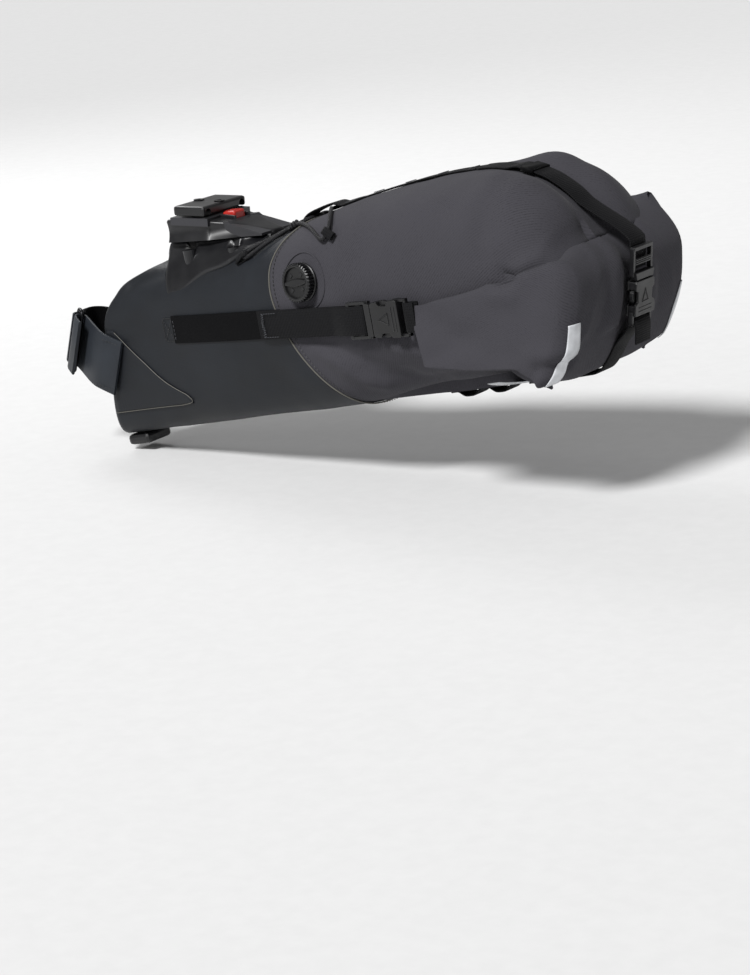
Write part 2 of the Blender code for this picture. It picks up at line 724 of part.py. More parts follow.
def cord_side():
    """(u, y) points of the cord on the right side, from the front top loop to the rear one."""
    run = (FRONT_TAB - KNOT).normalized()
    wide = Vector((-run.y, run.x))
    if wide.y > 0:
        wide = -wide                  # towards the middle of the bag
    points = [Vector((0.0900, 0.0)), Vector((0.0880, 0.0080)), KNOT + wide * RUN_HALF]
    points += [KNOT.lerp(FRONT_TAB, t) + wide * RUN_HALF for t in (0.33, 0.66, 0.93)]
    for turn in (60, 90, 120):
        a = math.radians(turn)
        points.append(FRONT_TAB + wide * RUN_HALF * math.cos(a) + run * RUN_HALF * math.sin(a))
    points += [KNOT.lerp(FRONT_TAB, t) - wide * RUN_HALF for t in (0.93, 0.66, 0.33)]
    points += [KNOT - wide * RUN_HALF, KNOT.lerp(REAR_TAB, 0.5) + Vector((-0.001, 0.0035)),
               REAR_TAB + Vector((-0.0070, 0.0008)), REAR_TAB + Vector((-0.0005, 0.0012)),
               REAR_TAB + Vector((0.0005, -0.0055)), Vector((0.1220, 0.0260)), Vector((0.1090, 0.0080)),
               Vector((0.1045, 0.0))]
    return points


def cord_path():
    right = cord_side()
    left = [Vector((p.x, -p.y)) for p in reversed(right[1:-1])]
    guide = right + left
    count = len(guide)
    path = []
    for i in range(count):
        a, b, c, d = (guide[(i + k) % count] for k in (-1, 0, 1, 2))
        steps = max(1, round((c - b).length / 0.0045))
        for j in range(steps):
            t = j / steps
            p = 0.5 * ((2 * b) + (c - a) * t + (2 * a - 5 * b + 4 * c - d) * t ** 2
                       + (3 * b - a - 3 * c + d) * t ** 3)
            point, out = surface_frame(p.x, p.y)
            path.append(point + out * CORD_LIFT)
    return path


def elastic_cord(radius):
    curve = bpy.data.curves.new("cord", "CURVE")
    curve.dimensions = "3D"
    line = curve.splines.new("POLY")
    path = cord_path()
    line.points.add(len(path) - 1)
    for point, place_at in zip(line.points, path):
        point.co = (*place_at, 1.0)
    line.use_cyclic_u = True
    curve.bevel_depth = radius
    curve.bevel_resolution = 1
    obj = bpy.data.objects.new("cord_room", curve)
    CUTTERS.objects.link(obj)
    return obj


def cord_tab(at, direction, side):
    """A folded webbing tab on the shoulder of the bag; the cord turns in its eye."""
    point, out = surface_frame(at.x, side * at.y)
    along = Vector((direction.x, side * direction.y, 0.0))
    along = (along - out * along.dot(out)).normalized()
    frame = Matrix((along, out.cross(along), out)).transposed().to_4x4()
    frame.translation = point
    tab = box((-0.0042, -0.0018, CLEAR + 0.0003), (0.0085, 0.0018, 2 * CORD_LIFT + 0.0020), 0.0005, 1)
    tab = in_frame(tab, frame, BAG)
    room = elastic_cord(CORD_RADIUS + 0.0005)
    return cut(tab, from_mesh(bpy.data.meshes.new_from_object(room)))


# ---------------------------------------------------------------- quick-release mount
def on_mount(p, q):
    """A point of the mount frame in world coordinates."""
    return MOUNT.matrix_world @ Vector((p, 0.0, q))


def in_mount(x, z):
    """A world (x, z) point as (p, q) of the mount frame."""
    point = MOUNT.matrix_world.inverted() @ Vector((x, 0.0, z))
    return (point.x, point.z)


def head_outline():
    """Side view of the adapter head, in the mount frame."""
    under = -PLATFORM_THICK / 2       # the head runs up into the platform
    rear = in_mount(PLATFORM_LENGTH / 2 - 0.001, under)
    front = in_mount(-PLATFORM_LENGTH / 2 + 0.001, under)
    return [(HEAD_FRONT, CLEAR), (HEAD_REAR, CLEAR), (HEAD_REAR, 0.0020), (0.047, 0.0072), (0.036, 0.0105),
            (0.033, 0.0128), (rear[0] + 0.001, 0.0128), rear, front, (HEAD_FRONT, 0.0100)]


def tee(start, end, grow, roof):
    """The tongue's T section, foot down, from start to end along the sliding direction."""
    neck = TONGUE_NECK / 2 + grow
    foot = TONGUE_WIDTH / 2 + grow
    low = -TONGUE_DEPTH - grow
    lip = -TONGUE_DEPTH + TONGUE_LIP + grow
    section = [(-foot, low), (foot, low), (foot, lip), (neck, lip), (neck, roof), (-neck, roof), (-neck, lip),
               (-foot, lip)]
    obj = prism(section, (end - start) / 2)
    middle = Matrix.Translation(((start + end) / 2, 0.0, 0.0))
    obj.data.transform(middle @ Matrix.Rotation(math.pi / 2, 4, "Z"))
    return obj


def adapter_body():
    level = MOUNT.matrix_world.inverted()
    half_long = PLATFORM_LENGTH / 2
    half_wide = PLATFORM_WIDTH / 2
    slab = box((-half_long, -half_wide, -PLATFORM_THICK), (half_long, half_wide, 0.0))
    slab.data.transform(level)
    body = join(prism(head_outline(), HEAD_WIDTH / 2), slab, tee(TONGUE_FRONT, TONGUE_REAR, 0.0, 0.001))
    well_half = LEVER_WIDTH / 2 + 0.0008
    button_long = BUTTON_LENGTH / 2 + CLEAR
    button_wide = BUTTON_WIDTH / 2 + CLEAR
    button_well = box((BUTTON_P - button_long, -button_wide, 0.0042),
                      (BUTTON_P + button_long, button_wide, 0.03))
    lever_well = box((LEVER_FRONT - 0.0015, -well_half, -0.01), (HOOK_P + HOOK_SWING, well_half, 0.0066))
    pin_bore = cylinder(PIN_RADIUS + 0.00015, HEAD_WIDTH - 0.010, LEVER_PIVOT, "Y", 16)
    cut(body, button_well, lever_well, pin_bore)
    for x in (-BOLT_SPACING / 2, BOLT_SPACING / 2):
        bore = cylinder(BOLT_RADIUS + 0.00025, 0.06, (x, 0.0, 0.0), "Z", 16)
        pocket = cylinder(0.0049, 0.03, (x, 0.0, -0.0080 - 0.015), "Z", 6)
        for hole in (bore, pocket):
            hole.data.transform(level)
            cut(body, hole)
    return body


def base_side(inset=0.0):
    """(u, half width) knots of the bag's base plate, front to tail."""
    wide = BASE_WIDTH / 2 - inset
    front = BASE_FRONT + inset
    tail = BASE_TAIL - inset * 0.6
    return [(front, wide - 0.008), (front + 0.002, wide - 0.002), (front + 0.008, wide),
            (0.000, wide + 0.0005), (0.026, wide - 0.0010), (0.042, wide - 0.0075),
            (0.058, wide - 0.0165 + inset * 0.4),
            (tail - 0.004, 0.0105 - inset * 0.3), (tail, 0.0050)]


def base_outline(inset):
    """Plan of the base plate as (u, y), anticlockwise from the middle of its front."""
    side = base_side(inset)
    side = [(side[0][0], 0.0)] + side + [(side[-1][0], 0.0)]
    return side + [(u, -y) for u, y in reversed(side[1:-1])]


def base_flange():
    """The thin skirt of the base plate, following the fabric."""
    at, wide = zip(*base_side())
    rings = []
    for u in sorted(set(at) | set(spread(BASE_FRONT + 0.014, BASE_TAIL - 0.010, 8))):
        half_wide = float(np.interp(u, at, wide))
        across = spread(-half_wide, half_wide, 11)
        rings.append([Vector((u, y, height_at(u, y) + FLANGE_THICK)) for y in across]
                     + [Vector((u, y, height_at(u, y) - 0.004)) for y in reversed(across)])
    return loft(rings, close_start=True, close_end=True)


def sliding_w(u):
    """Height of the sliding face over u in the bag frame."""
    a, b = to_bag(on_mount(-0.02, 0.0)), to_bag(on_mount(0.05, 0.0))
    return a.z + (u - a.x) * (b.z - a.z) / (b.x - a.x)


def base_plate():
    """Base plate on the bag: a flange that follows the fabric and a block with the T-shaped channel."""
    plate = base_flange()
    block = loft([[Vector((u, y, height_at(u, y) - 0.005)) for u, y in base_outline(0.0065)],
                  [Vector((u, y * 0.80, sliding_w(u))) for u, y in base_outline(0.0115)]],
                 close_start=True, close_end=True)
    cut(block, box((DECK_END, -0.1, -0.1), (0.2, 0.1, 0.1)))
    join(plate, block)
    for u, y in screw_places():
        join(plate, cylinder(0.0055, 0.016, (u, y, screw_seat(u) - 0.008), "Z", 20))
    cut(plate, bag_filler(-0.110, 0.120, CLEAR + 0.0001))
    channel = tee(-0.08, TONGUE_REAR + SLIDE_CLEAR, SLIDE_CLEAR, 0.02)
    groove_half = LEVER_WIDTH / 2 + 0.0012
    groove = box((-0.08, -groove_half, -0.0066), (HOOK_P + HOOK_SWING, groove_half, -0.001))
    to_local = BAG.matrix_world.inverted() @ MOUNT.matrix_world
    for cutter in (channel, groove):
        cutter.data.transform(to_local)
        cut(plate, cutter)
    for u, y in screw_places():
        cut(plate, cylinder(0.0023, 0.05, (u, y, 0.0), "Z", 16),
            cylinder(0.0043, 0.02, (u, y, screw_seat(u) - 0.0022 + 0.01), "Z", 20))
    return plate


SCREW_Y = 0.0275


def screw_places():
    return [(u, side * SCREW_Y) for u in (-0.019, 0.0245) for side in (-1, 1)]


def screw_seat(u):
    return sliding_w(u) - 0.0062


def plate_screw(u, y):
    seat = screw_seat(u) - 0.0022 + CLEAR
    head = cylinder(0.0039, 0.0022, (u, y, seat + 0.0011), "Z", 20)
    shank = cylinder(0.0020, seat + 0.0125, (u, y, (seat - 0.0125) / 2 + 0.0002), "Z", 12)
    drive = cylinder(0.0016, 0.0030, (u, y, seat + 0.0022), "Z", 6)
    return cut(join(head, shank), drive)


def backing_plate():
    """Plate inside the bag that the base plate's screws pull against."""
    plate = box((-0.034, -0.034, -0.0105), (0.040, 0.034, 0.02))
    combine(plate, bag_filler(-0.110, 0.120, -WALL - CLEAR), "INTERSECT")
    for u, y in screw_places():
        cut(plate, cylinder(0.0022, 0.05, (u, y, 0.0), "Z", 16))
    return plate


def clamp_plate():
    half_long = PLATE_LENGTH / 2
    half_wide = RAIL_SPACING / 2 + RAIL_DIAMETER / 2 + 0.002
    plate = box((-half_long, -half_wide, 0.0012), (half_long, half_wide, PLATE_THICK), 0.002, 2)
    for side in (-1, 1):
        rail = (0.0, side * RAIL_SPACING / 2, RAIL_DIAMETER / 2)
        groove = cylinder(RAIL_DIAMETER / 2 + 0.0002, 0.06, rail, "X", 20)
        mouth = box((-0.03, side * RAIL_SPACING / 2 - RAIL_DIAMETER / 2 - 0.0002, -0.01),
                    (0.03, side * RAIL_SPACING / 2 + RAIL_DIAMETER / 2 + 0.0002, RAIL_DIAMETER / 2))
        cut(plate, groove, mouth)
    for x in (-BOLT_SPACING / 2, BOLT_SPACING / 2):
        cut(plate, cylinder(BOLT_RADIUS + 0.00025, 0.04, (x, 0.0, 0.0), "Z", 16),
            cylinder(BOLT_HEAD + 0.0003, 0.02, (x, 0.0, 0.0045 + 0.01), "Z", 20))
    return plate


def clamp_bolt(x):
    seat = 0.0045 + CLEAR
    head = cylinder(BOLT_HEAD, 0.005, (x, 0.0, seat + 0.0025), "Z", 20)
    shank = cylinder(BOLT_RADIUS, 0.0190, (x, 0.0, seat - 0.0094), "Z", 12)
    socket = cylinder(0.0021, 0.006, (x, 0.0, seat + 0.005), "Z", 6)
    return cut(join(head, shank), socket)


def clamp_nut(x):
    nut = cylinder(0.0046, 0.0035, (x, 0.0, -0.0083 - 0.00175), "Z", 6)
    return cut(nut, cylinder(BOLT_RADIUS + 0.00015, 0.02, (x, 0.0, -0.010), "Z", 16))


def release_button():
    cap = box((BUTTON_P - BUTTON_LENGTH / 2, -BUTTON_WIDTH / 2, 0.0078),
              (BUTTON_P + BUTTON_LENGTH / 2, BUTTON_WIDTH / 2, 0.0186), 0.0016, 2)
    stem = box((LEVER_FRONT, -0.003, LEVER_THICK + CLEAR), (LEVER_FRONT + 0.002, 0.003, 0.010))
    return join(cap, stem)


def latch_lever():
    """The lever in side view: a bar under the button's stem, with the hook down at its rear end."""
    hook_front, hook_rear, hook_low = HOOK_P - 0.0018, HOOK_P + 0.0020, -0.0060
    bar = prism([(LEVER_FRONT, 0.0), (hook_front, 0.0), (hook_front, hook_low), (hook_rear, hook_low),
                 (hook_rear, LEVER_THICK), (LEVER_FRONT, LEVER_THICK)], LEVER_WIDTH / 2)
    eye = cylinder(0.0025, LEVER_WIDTH + 0.0004, LEVER_PIVOT, "Y", 20)
    lever = cut(join(bar, eye), cylinder(PIN_RADIUS + 0.0002, 0.02, LEVER_PIVOT, "Y", 16))
    return pivot_at(lever, LEVER_PIVOT)


def lever_pin():
    return cylinder(PIN_RADIUS, HEAD_WIDTH - 0.012, LEVER_PIVOT, "Y", 16)


# ---------------------------------------------------------------- seatpost strap
def upright(obj):
    """Turn a ribbon so that its width runs along the seatpost."""
    obj.data.transform(Matrix.Rotation(-math.pi / 2, 4, "X"))
    return obj


def round_post(radius, start, end, count):
    """Points round the post, with angles in degrees from the rear."""
    return [(radius * math.cos(math.radians(a)), radius * math.sin(math.radians(a)))
            for a in spread(start, end, count)]


ROOT_X = 0.046
ROOT_Y = NOSE_WIDTH / 2 + 0.0074
RING_ANGLE = 236.0
WRAP = POST_RADIUS + CLEAR
RING_RADIUS = WRAP + STRAP_THICK + 0.0012 + RING_WIRE


def post_strap():
    """From the right side of the nose, round the front of the post, to the ring."""
    path = [(ROOT_X, ROOT_Y), (0.034, ROOT_Y - 0.0012), (0.025, ROOT_Y - 0.0034)]
    path = list(reversed(path + round_post(WRAP, 97, RING_ANGLE - 14, 10)))
    return upright(ribbon(path, STRAP_HEIGHT, STRAP_THICK))


def ring_point(along, out):
    a = math.radians(RING_ANGLE)
    return Vector((RING_RADIUS * math.cos(a) - along * math.sin(a) + out * math.cos(a),
                   RING_RADIUS * math.sin(a) + along * math.cos(a) + out * math.sin(a), 0.0))


def ring_frame():
    a = math.radians(RING_ANGLE)
    along = Vector((-math.sin(a), math.cos(a), 0.0))
    out = Vector((math.cos(a), math.sin(a), 0.0))
    frame = Matrix((along, out.cross(along), out)).transposed().to_4x4()
    frame.translation = ring_point(0.0, 0.0)
    return frame


RING_HALF = 0.0046                    # half spacing of the ring's two long bars


def post_ring():
    tall = STRAP_HEIGHT / 2 + 0.0010
    wire = RING_WIRE
    corner = (RING_HALF + wire, tall + 2 * wire, wire)
    frame = box([-size for size in corner], corner, 0.0007, 1)
    ring = cut(frame, box((-RING_HALF + wire, -tall, -0.01), (RING_HALF - wire, tall, 0.01)))
    return in_frame(ring, ring_frame(), POST)


def ring_strap():
    """Short strap from the left side of the nose, folded round the ring's rear bar."""
    gap = RING_WIRE + CLEAR + STRAP_THICK
    slot = RING_HALF - RING_WIRE - CLEAR - STRAP_THICK + 0.0002
    turn = [ring_point(0.0175, gap), ring_point(slot, gap), ring_point(slot, -gap + 0.0013),
            ring_point(RING_HALF, -gap + 0.0013)]
    path = [(p.x, p.y) for p in turn]
    path += [(p.x, p.y) for p in (ring_point(0.012, -gap + 0.0008),)]
    path += [(0.0225, -ROOT_Y + 0.0020), (0.034, -ROOT_Y + 0.0006), (ROOT_X, -ROOT_Y)]
    return upright(ribbon(path, STRAP_HEIGHT, STRAP_THICK))


def strap_flap():
    """Free end of the post strap, folded back over itself and held by hook and loop."""
    clear = RING_WIRE * math.sqrt(2.0) + CLEAR
    start = [ring_point(-RING_HALF + 0.0002, clear), ring_point(-RING_HALF - RING_WIRE - 0.001, clear)]
    path = [(p.x, p.y) for p in start] + round_post(WRAP + STRAP_THICK + 0.0010, RING_ANGLE - 32, 128, 7)
    return pivot_at(upright(ribbon(path, STRAP_HEIGHT - 0.004, 0.0018)), start[0])


def corner_strip(side):
    """Reflective strip on the rear corner of the roll."""
    bm = bmesh.new()
    rows = []
    rear = mouth_at(-0.075) + MOUTH_GAP + ROLL_THICK / 2
    for w in spread(-0.118, -0.072, 8):
        row = []
        for degrees in spread(14.0, 44.0, 5):
            a = math.radians(degrees)
            thick = WING_THICK + (ROLL_THICK - WING_THICK) * degrees / 90.0
            reach = thick / 2 + 0.0006
            u = rear - CORNER + CORNER * math.sin(a) + mouth_at(w) - mouth_at(-0.075) + reach * math.sin(a)
            row.append(bm.verts.new((u, side * (WING_Y - CORNER + (CORNER + reach) * math.cos(a)), w)))
        rows.append(row)
    for a, b in zip(rows, rows[1:]):
        for i in range(len(a) - 1):
            bm.faces.new((a[i], a[i + 1], b[i + 1], b[i]) if side > 0 else (a[i], b[i], b[i + 1], a[i + 1]))
    mesh = bpy.data.meshes.new("strip")
    bm.to_mesh(mesh)
    bm.free()
    obj = bpy.data.objects.new("strip", mesh)
    CUTTERS.objects.link(obj)
    return thicken(obj, 0.0004, 1.0)


def shell_patch(u_range, angle_of, grow, thickness, counts=(8, 3)):
    """A thin patch on the bag's skin; angle_of gives the angle from the share across and the share along."""
    rings = []
    for i in range(counts[0]):
        t = i / (counts[0] - 1)
        u = u_range[0] * (1 - t) + u_range[1] * t
        rings.append([surface(u, angle_of(k / (counts[1] - 1), t), grow) for k in range(counts[1])])
    bm = bmesh.new()
    rows = [[bm.verts.new(point) for point in ring] for ring in rings]
    for a, b in zip(rows, rows[1:]):
        for i in range(len(a) - 1):
            bm.faces.new((a[i], a[i + 1], b[i + 1], b[i]))
    mesh = bpy.data.meshes.new("patch")
    bm.to_mesh(mesh)
    bm.free()
    obj = bpy.data.objects.new("patch", mesh)
    CUTTERS.objects.link(obj)
    return thicken(obj, thickness, 1.0)


def low_strip(side):
    first, last = (-58.0, -70.0) if side > 0 else (-110.0, -122.0)
    return shell_patch((MOUTH_U - 0.098, MOUTH_U - 0.040),
                       lambda across, along: math.radians(first + (last - first) * across), 0.0005, 0.0004)


# (height, rear end) knots of the nose patch
PATCH_REAR = [(-0.100, -0.041), (-0.0855, -0.051), (-0.064, -0.084), (-0.040, -0.1085)]


def nose_patch(side):
    """Reinforcement welded on the lower corner of the nose; PATCH_REAR gives its slanted edge."""
    bm = bmesh.new()
    rows = []
    for w in spread(PATCH_REAR[0][0], PATCH_REAR[-1][0], 9):
        share = (w + BAG_DEPTH) / (top(-0.100) + BAG_DEPTH)
        first = smooth_curve(share, NOSE_KNOTS) + 0.003
        last = float(np.interp(w, *zip(*PATCH_REAR)))
        rows.append([bm.verts.new((u, side * (side_at(u, w) + 0.0004), w)) for u in spread(first, last, 7)])
    for a, b in zip(rows, rows[1:]):
        for i in range(len(a) - 1):
            corners = (a[i], a[i + 1], b[i + 1], b[i])
            bm.faces.new(corners if side < 0 else tuple(reversed(corners)))
    mesh = bpy.data.meshes.new("patch")
    bm.to_mesh(mesh)
    bm.free()
    obj = bpy.data.objects.new("patch", mesh)
    CUTTERS.objects.link(obj)
    return thicken(obj, 0.0007, 1.0)


# ---------------------------------------------------------------- the pieces, in the order they are listed
adapter = place(adapter_body(), "adapter_body", GREY_NYLON, MOUNT, smooth=40)
place(clamp_plate(), "rail_clamp_plate", ACETAL, smooth=40)
for tag, x in (("front", -BOLT_SPACING / 2), ("rear", BOLT_SPACING / 2)):
    place(clamp_bolt(x), f"clamp_bolt_{tag}", BLACK_STEEL, smooth=40)
    place(clamp_nut(x), f"clamp_nut_{tag}", STEEL, smooth=40)
place(release_button(), "release_button", RED_PLASTIC, MOUNT)
place(latch_lever(), "latch_lever", ACETAL, MOUNT, smooth=40)
place(lever_pin(), "latch_pin", STEEL, MOUNT, smooth=40)

place(base_plate(), "base_plate", ACETAL, BAG, smooth=40)
place(backing_plate(), "backing_plate", STIFF_SHEET, BAG, smooth=40)
for (u, y), tag in zip(screw_places(), ("front_left", "front_right", "rear_left", "rear_right")):
    place(plate_screw(u, y), f"plate_screw_{tag}", BLACK_STEEL, BAG, smooth=40)

front = front_shell()
for u, y in screw_places():
    cut(front, cylinder(0.0023, 0.06, (u, y, 0.0), "Z", 16))
main_shell()
place(loft(roll_rings(), close_start=True, close_end=True), "roll_closure", TWILL, BAG, smooth=50)

SIDES = ((-1, "left"), (1, "right"))
for side, tag in SIDES:
    place(nose_patch(side), f"nose_patch_{tag}", LAMINATE, BAG, smooth=40)
    place(loop_tape(side), f"loop_tape_{tag}", LOOP_PILE, BAG, smooth=30)
    place(side_webbing(side), f"side_webbing_{tag}", WEBBING, BAG, smooth=30)
    place(in_frame(buckle_male(), side_frame(side), BAG), f"side_buckle_male_{tag}", ACETAL, BAG)
    place(in_frame(buckle_female(), side_frame(side), BAG), f"side_buckle_female_{tag}", ACETAL, BAG)
    place(wing_tab(side), f"wing_tab_{tag}", WEBBING, BAG, smooth=30)
    place(corner_strip(side), f"reflective_rear_{tag}", REFLECTIVE, BAG, smooth=40)
    place(low_strip(side), f"reflective_low_{tag}", REFLECTIVE, BAG, smooth=40)
    run = (FRONT_TAB - KNOT).normalized()
    place(cord_tab(FRONT_TAB + run * RUN_HALF, run, side), f"cord_tab_front_{tag}", WEBBING, BAG)
    place(cord_tab(REAR_TAB, Vector((0.6, 0.8)), side), f"cord_tab_rear_{tag}", WEBBING, BAG)

place(daisy_webbing(), "top_webbing", WEBBING, BAG, smooth=30)
place(rear_strap_upper(), "rear_strap_upper", WEBBING, BAG, smooth=30)
place(strap_keeper(), "rear_strap_keeper", WEBBING, BAG)
place(in_frame(buckle_male(), rear_frame(), BAG), "rear_buckle_male", ACETAL, BAG)
place(in_frame(buckle_female(), rear_frame(), BAG), "rear_buckle_female", ACETAL, BAG)
place(rear_strap_lower(), "rear_strap_lower", WEBBING, BAG, smooth=30)
place(under_webbing(), "under_webbing", WEBBING, BAG, smooth=30)
place(elastic_cord(CORD_RADIUS), "elastic_cord", RUBBER, BAG)

bumper = box((-NOSE_REACH + 0.004, -0.015, -BAG_DEPTH - 0.009),
             (-NOSE_REACH + 0.026, 0.015, -BAG_DEPTH - CLEAR), 0.003, 2)
place(bumper, "nose_bumper", ACETAL, BAG, smooth=40)
stiffener = box((-0.100, -0.030, -BAG_DEPTH - 0.01), (0.100, 0.030, -BAG_DEPTH + WALL + 0.0038))
combine(stiffener, bag_filler(-0.110, 0.120, -WALL - CLEAR), "INTERSECT")
place(stiffener, "base_stiffener", STIFF_SHEET, BAG)
sheet_path = [(-NOSE_REACH + 0.0085 + 0.034 * t, -BAG_DEPTH + 0.014 + 0.092 * t) for t in (0.0, 0.5, 1.0)]
nose_sheet = ribbon(sheet_path, 0.040, 0.0012)
place(nose_sheet, "nose_stiffener", STIFF_SHEET, BAG)

valve = valve_frame()
seat = 0.0004
flange = cylinder(VALVE_RADIUS, VALVE_FLANGE, (0, 0, seat + VALVE_FLANGE / 2), sides=32)
neck = cylinder(VALVE_BORE, 0.0105, (0, 0, seat - 0.0045), sides=24)
stud = cylinder(0.0055, 0.0052, (0, 0, seat + VALVE_FLANGE + 0.0022), sides=24)
duct = cylinder(0.0030, 0.05, (0, 0, 0), sides=16)
place(in_frame(cut(join(flange, neck, stud), duct), valve, BAG), "valve_body", ACETAL, BAG, smooth=40)
cap_low = seat + VALVE_FLANGE + CLEAR
ring = cylinder(VALVE_RADIUS - 0.0004, CAP_HEIGHT, (0, 0, cap_low + CAP_HEIGHT / 2), sides=32)
bore = cylinder(0.0058, 0.0100, (0, 0, cap_low), sides=24)
dish = cylinder(VALVE_RADIUS - 0.0030, 0.01, (0, 0, cap_low + CAP_HEIGHT - 0.0018 + 0.005), sides=24)
grip_half = VALVE_RADIUS - 0.0035
grip = box((-grip_half, -0.0022, cap_low + 0.003), (grip_half, 0.0022, cap_low + CAP_HEIGHT))
cap = join(cut(ring, bore, dish), grip)
cap = in_frame(cut(cap, cylinder(0.0058, 0.0100, (0, 0, cap_low), sides=24)), valve, BAG)
pivot_at(cap, valve.translation)
place(cap, "valve_cap", ACETAL, BAG, smooth=40)
nut = cut(cylinder(0.0125, 0.0030, (0, 0, -WALL - 0.0018 - 0.0015), sides=6),
          cylinder(VALVE_BORE + 0.0002, 0.02, (0, 0, -0.004), sides=24))
place(in_frame(nut, valve, BAG), "valve_nut", ACETAL, BAG, smooth=40)

place(post_strap(), "post_strap", WEBBING, POST, smooth=30)
place(ring_strap(), "ring_strap", WEBBING, POST, smooth=30)
place(post_ring(), "strap_ring", BLACK_STEEL, POST)
place(strap_flap(), "strap_flap", WEBBING, POST, smooth=30)

for guide in CUTTERS.objects:
    guide.hide_render = True
    guide.display_type = "WIRE"
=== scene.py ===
# Looks of a roll-top saddle bag on its quick-release adapter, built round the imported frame.
# Lengths are in metres. Bag pieces are laid out in the bag's own tilted frame: u rearwards,
# y sideways with the left side at -y, and w up.
import bisect
import math

import bmesh
import bpy
import numpy as np
from mathutils import Matrix, Vector, noise


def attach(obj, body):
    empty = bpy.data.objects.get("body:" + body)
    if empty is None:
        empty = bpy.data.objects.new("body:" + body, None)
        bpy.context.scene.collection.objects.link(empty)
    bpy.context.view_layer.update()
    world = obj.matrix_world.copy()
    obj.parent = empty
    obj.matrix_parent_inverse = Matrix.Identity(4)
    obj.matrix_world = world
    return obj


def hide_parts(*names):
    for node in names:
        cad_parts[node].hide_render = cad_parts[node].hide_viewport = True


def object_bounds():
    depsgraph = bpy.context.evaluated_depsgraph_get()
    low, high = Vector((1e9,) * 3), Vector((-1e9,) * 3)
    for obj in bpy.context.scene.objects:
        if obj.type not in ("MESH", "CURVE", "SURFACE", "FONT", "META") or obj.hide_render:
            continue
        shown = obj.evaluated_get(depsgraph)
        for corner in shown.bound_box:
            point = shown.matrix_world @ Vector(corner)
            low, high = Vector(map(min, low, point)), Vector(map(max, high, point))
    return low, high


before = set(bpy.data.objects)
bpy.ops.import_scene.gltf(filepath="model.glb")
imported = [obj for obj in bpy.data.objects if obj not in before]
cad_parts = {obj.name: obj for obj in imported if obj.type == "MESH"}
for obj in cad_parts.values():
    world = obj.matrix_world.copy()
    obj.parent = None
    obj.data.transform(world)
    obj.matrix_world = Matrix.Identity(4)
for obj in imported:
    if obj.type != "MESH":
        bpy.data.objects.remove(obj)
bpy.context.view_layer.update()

clear = 0.0003  # gap between pieces that touch


def tilted(location, degrees):
    return Matrix.Translation(location) @ Matrix.Rotation(-math.radians(degrees), 4, "Y")


bagFrame = tilted((0.018, 0.0, -0.031), 10.0)
mountFrame = tilted((0.0, 0.0, -0.0184), 5.0)
postFrame = tilted((-0.1220, 0.0, -0.1090), -16.5)
sides = ((-1, "left"), (1, "right"))


def linear(hexColour):
    values = [int(hexColour[i:i + 2], 16) / 255 for i in (1, 3, 5)]
    return (*[v / 12.92 if v <= 0.04045 else ((v + 0.055) / 1.055) ** 2.4 for v in values], 1.0)


def newMaterial(name, colour, roughness, **sockets):
    mat = bpy.data.materials.new(name)
    mat.use_nodes = True
    shader = mat.node_tree.nodes["Principled BSDF"]
    shader.inputs["Base Color"].default_value = linear(colour)
    shader.inputs["Roughness"].default_value = roughness
    for socket, value in sockets.items():
        shader.inputs[socket.replace("_", " ")].default_value = value
    return mat


def addNode(mat, kind, settings=None, **links):
    # a link is a number, a colour, or (node, output name), and is named for its socket, with _ for a space;
    # s0, s1 and so on name the sockets by number
    node = mat.node_tree.nodes.new(kind)
    for key, value in (settings or {}).items():
        setattr(node, key, value)
    for socket, value in links.items():
        place = int(socket[1:]) if socket[1:].isdigit() else socket.replace("_", " ")
        target = node.inputs[place]
        if isinstance(value, tuple) and isinstance(value[0], bpy.types.Node):
            mat.node_tree.links.new(value[0].outputs[value[1]], target)
        else:
            target.default_value = value
    return node


def colourBetween(mat, share, dark, light, low=0.0, high=1.0):
    ramp = addNode(mat, "ShaderNodeValToRGB", s0=share)
    ramp.color_ramp.elements[0].position = low
    ramp.color_ramp.elements[0].color = linear(dark)
    ramp.color_ramp.elements[1].position = high
    ramp.color_ramp.elements[1].color = linear(light)
    return ramp


def finishShader(mat, colour=None, roughness=None, height=None, strength=0.3, distance=0.0003):
    shader = mat.node_tree.nodes["Principled BSDF"]
    links = mat.node_tree.links
    if colour:
        links.new(colour[0].outputs[colour[1]], shader.inputs["Base Color"])
    if roughness:
        links.new(roughness[0].outputs[roughness[1]], shader.inputs["Roughness"])
    if height:
        bump = addNode(mat, "ShaderNodeBump", Height=height, Strength=strength, Distance=distance)
        links.new(bump.outputs["Normal"], shader.inputs["Normal"])
    return mat


def stripes(mat, where, period, direction):
    # a wave texture repeats every 0.314 m at scale 1 along an axis, and every 0.444 m on a diagonal
    scale = (0.4443 if direction == "DIAGONAL" else 0.3142) / period
    return addNode(mat, "ShaderNodeTexWave", {"bands_direction": direction}, Vector=where, Scale=scale,
                   Distortion=0.4, Detail=1.0)


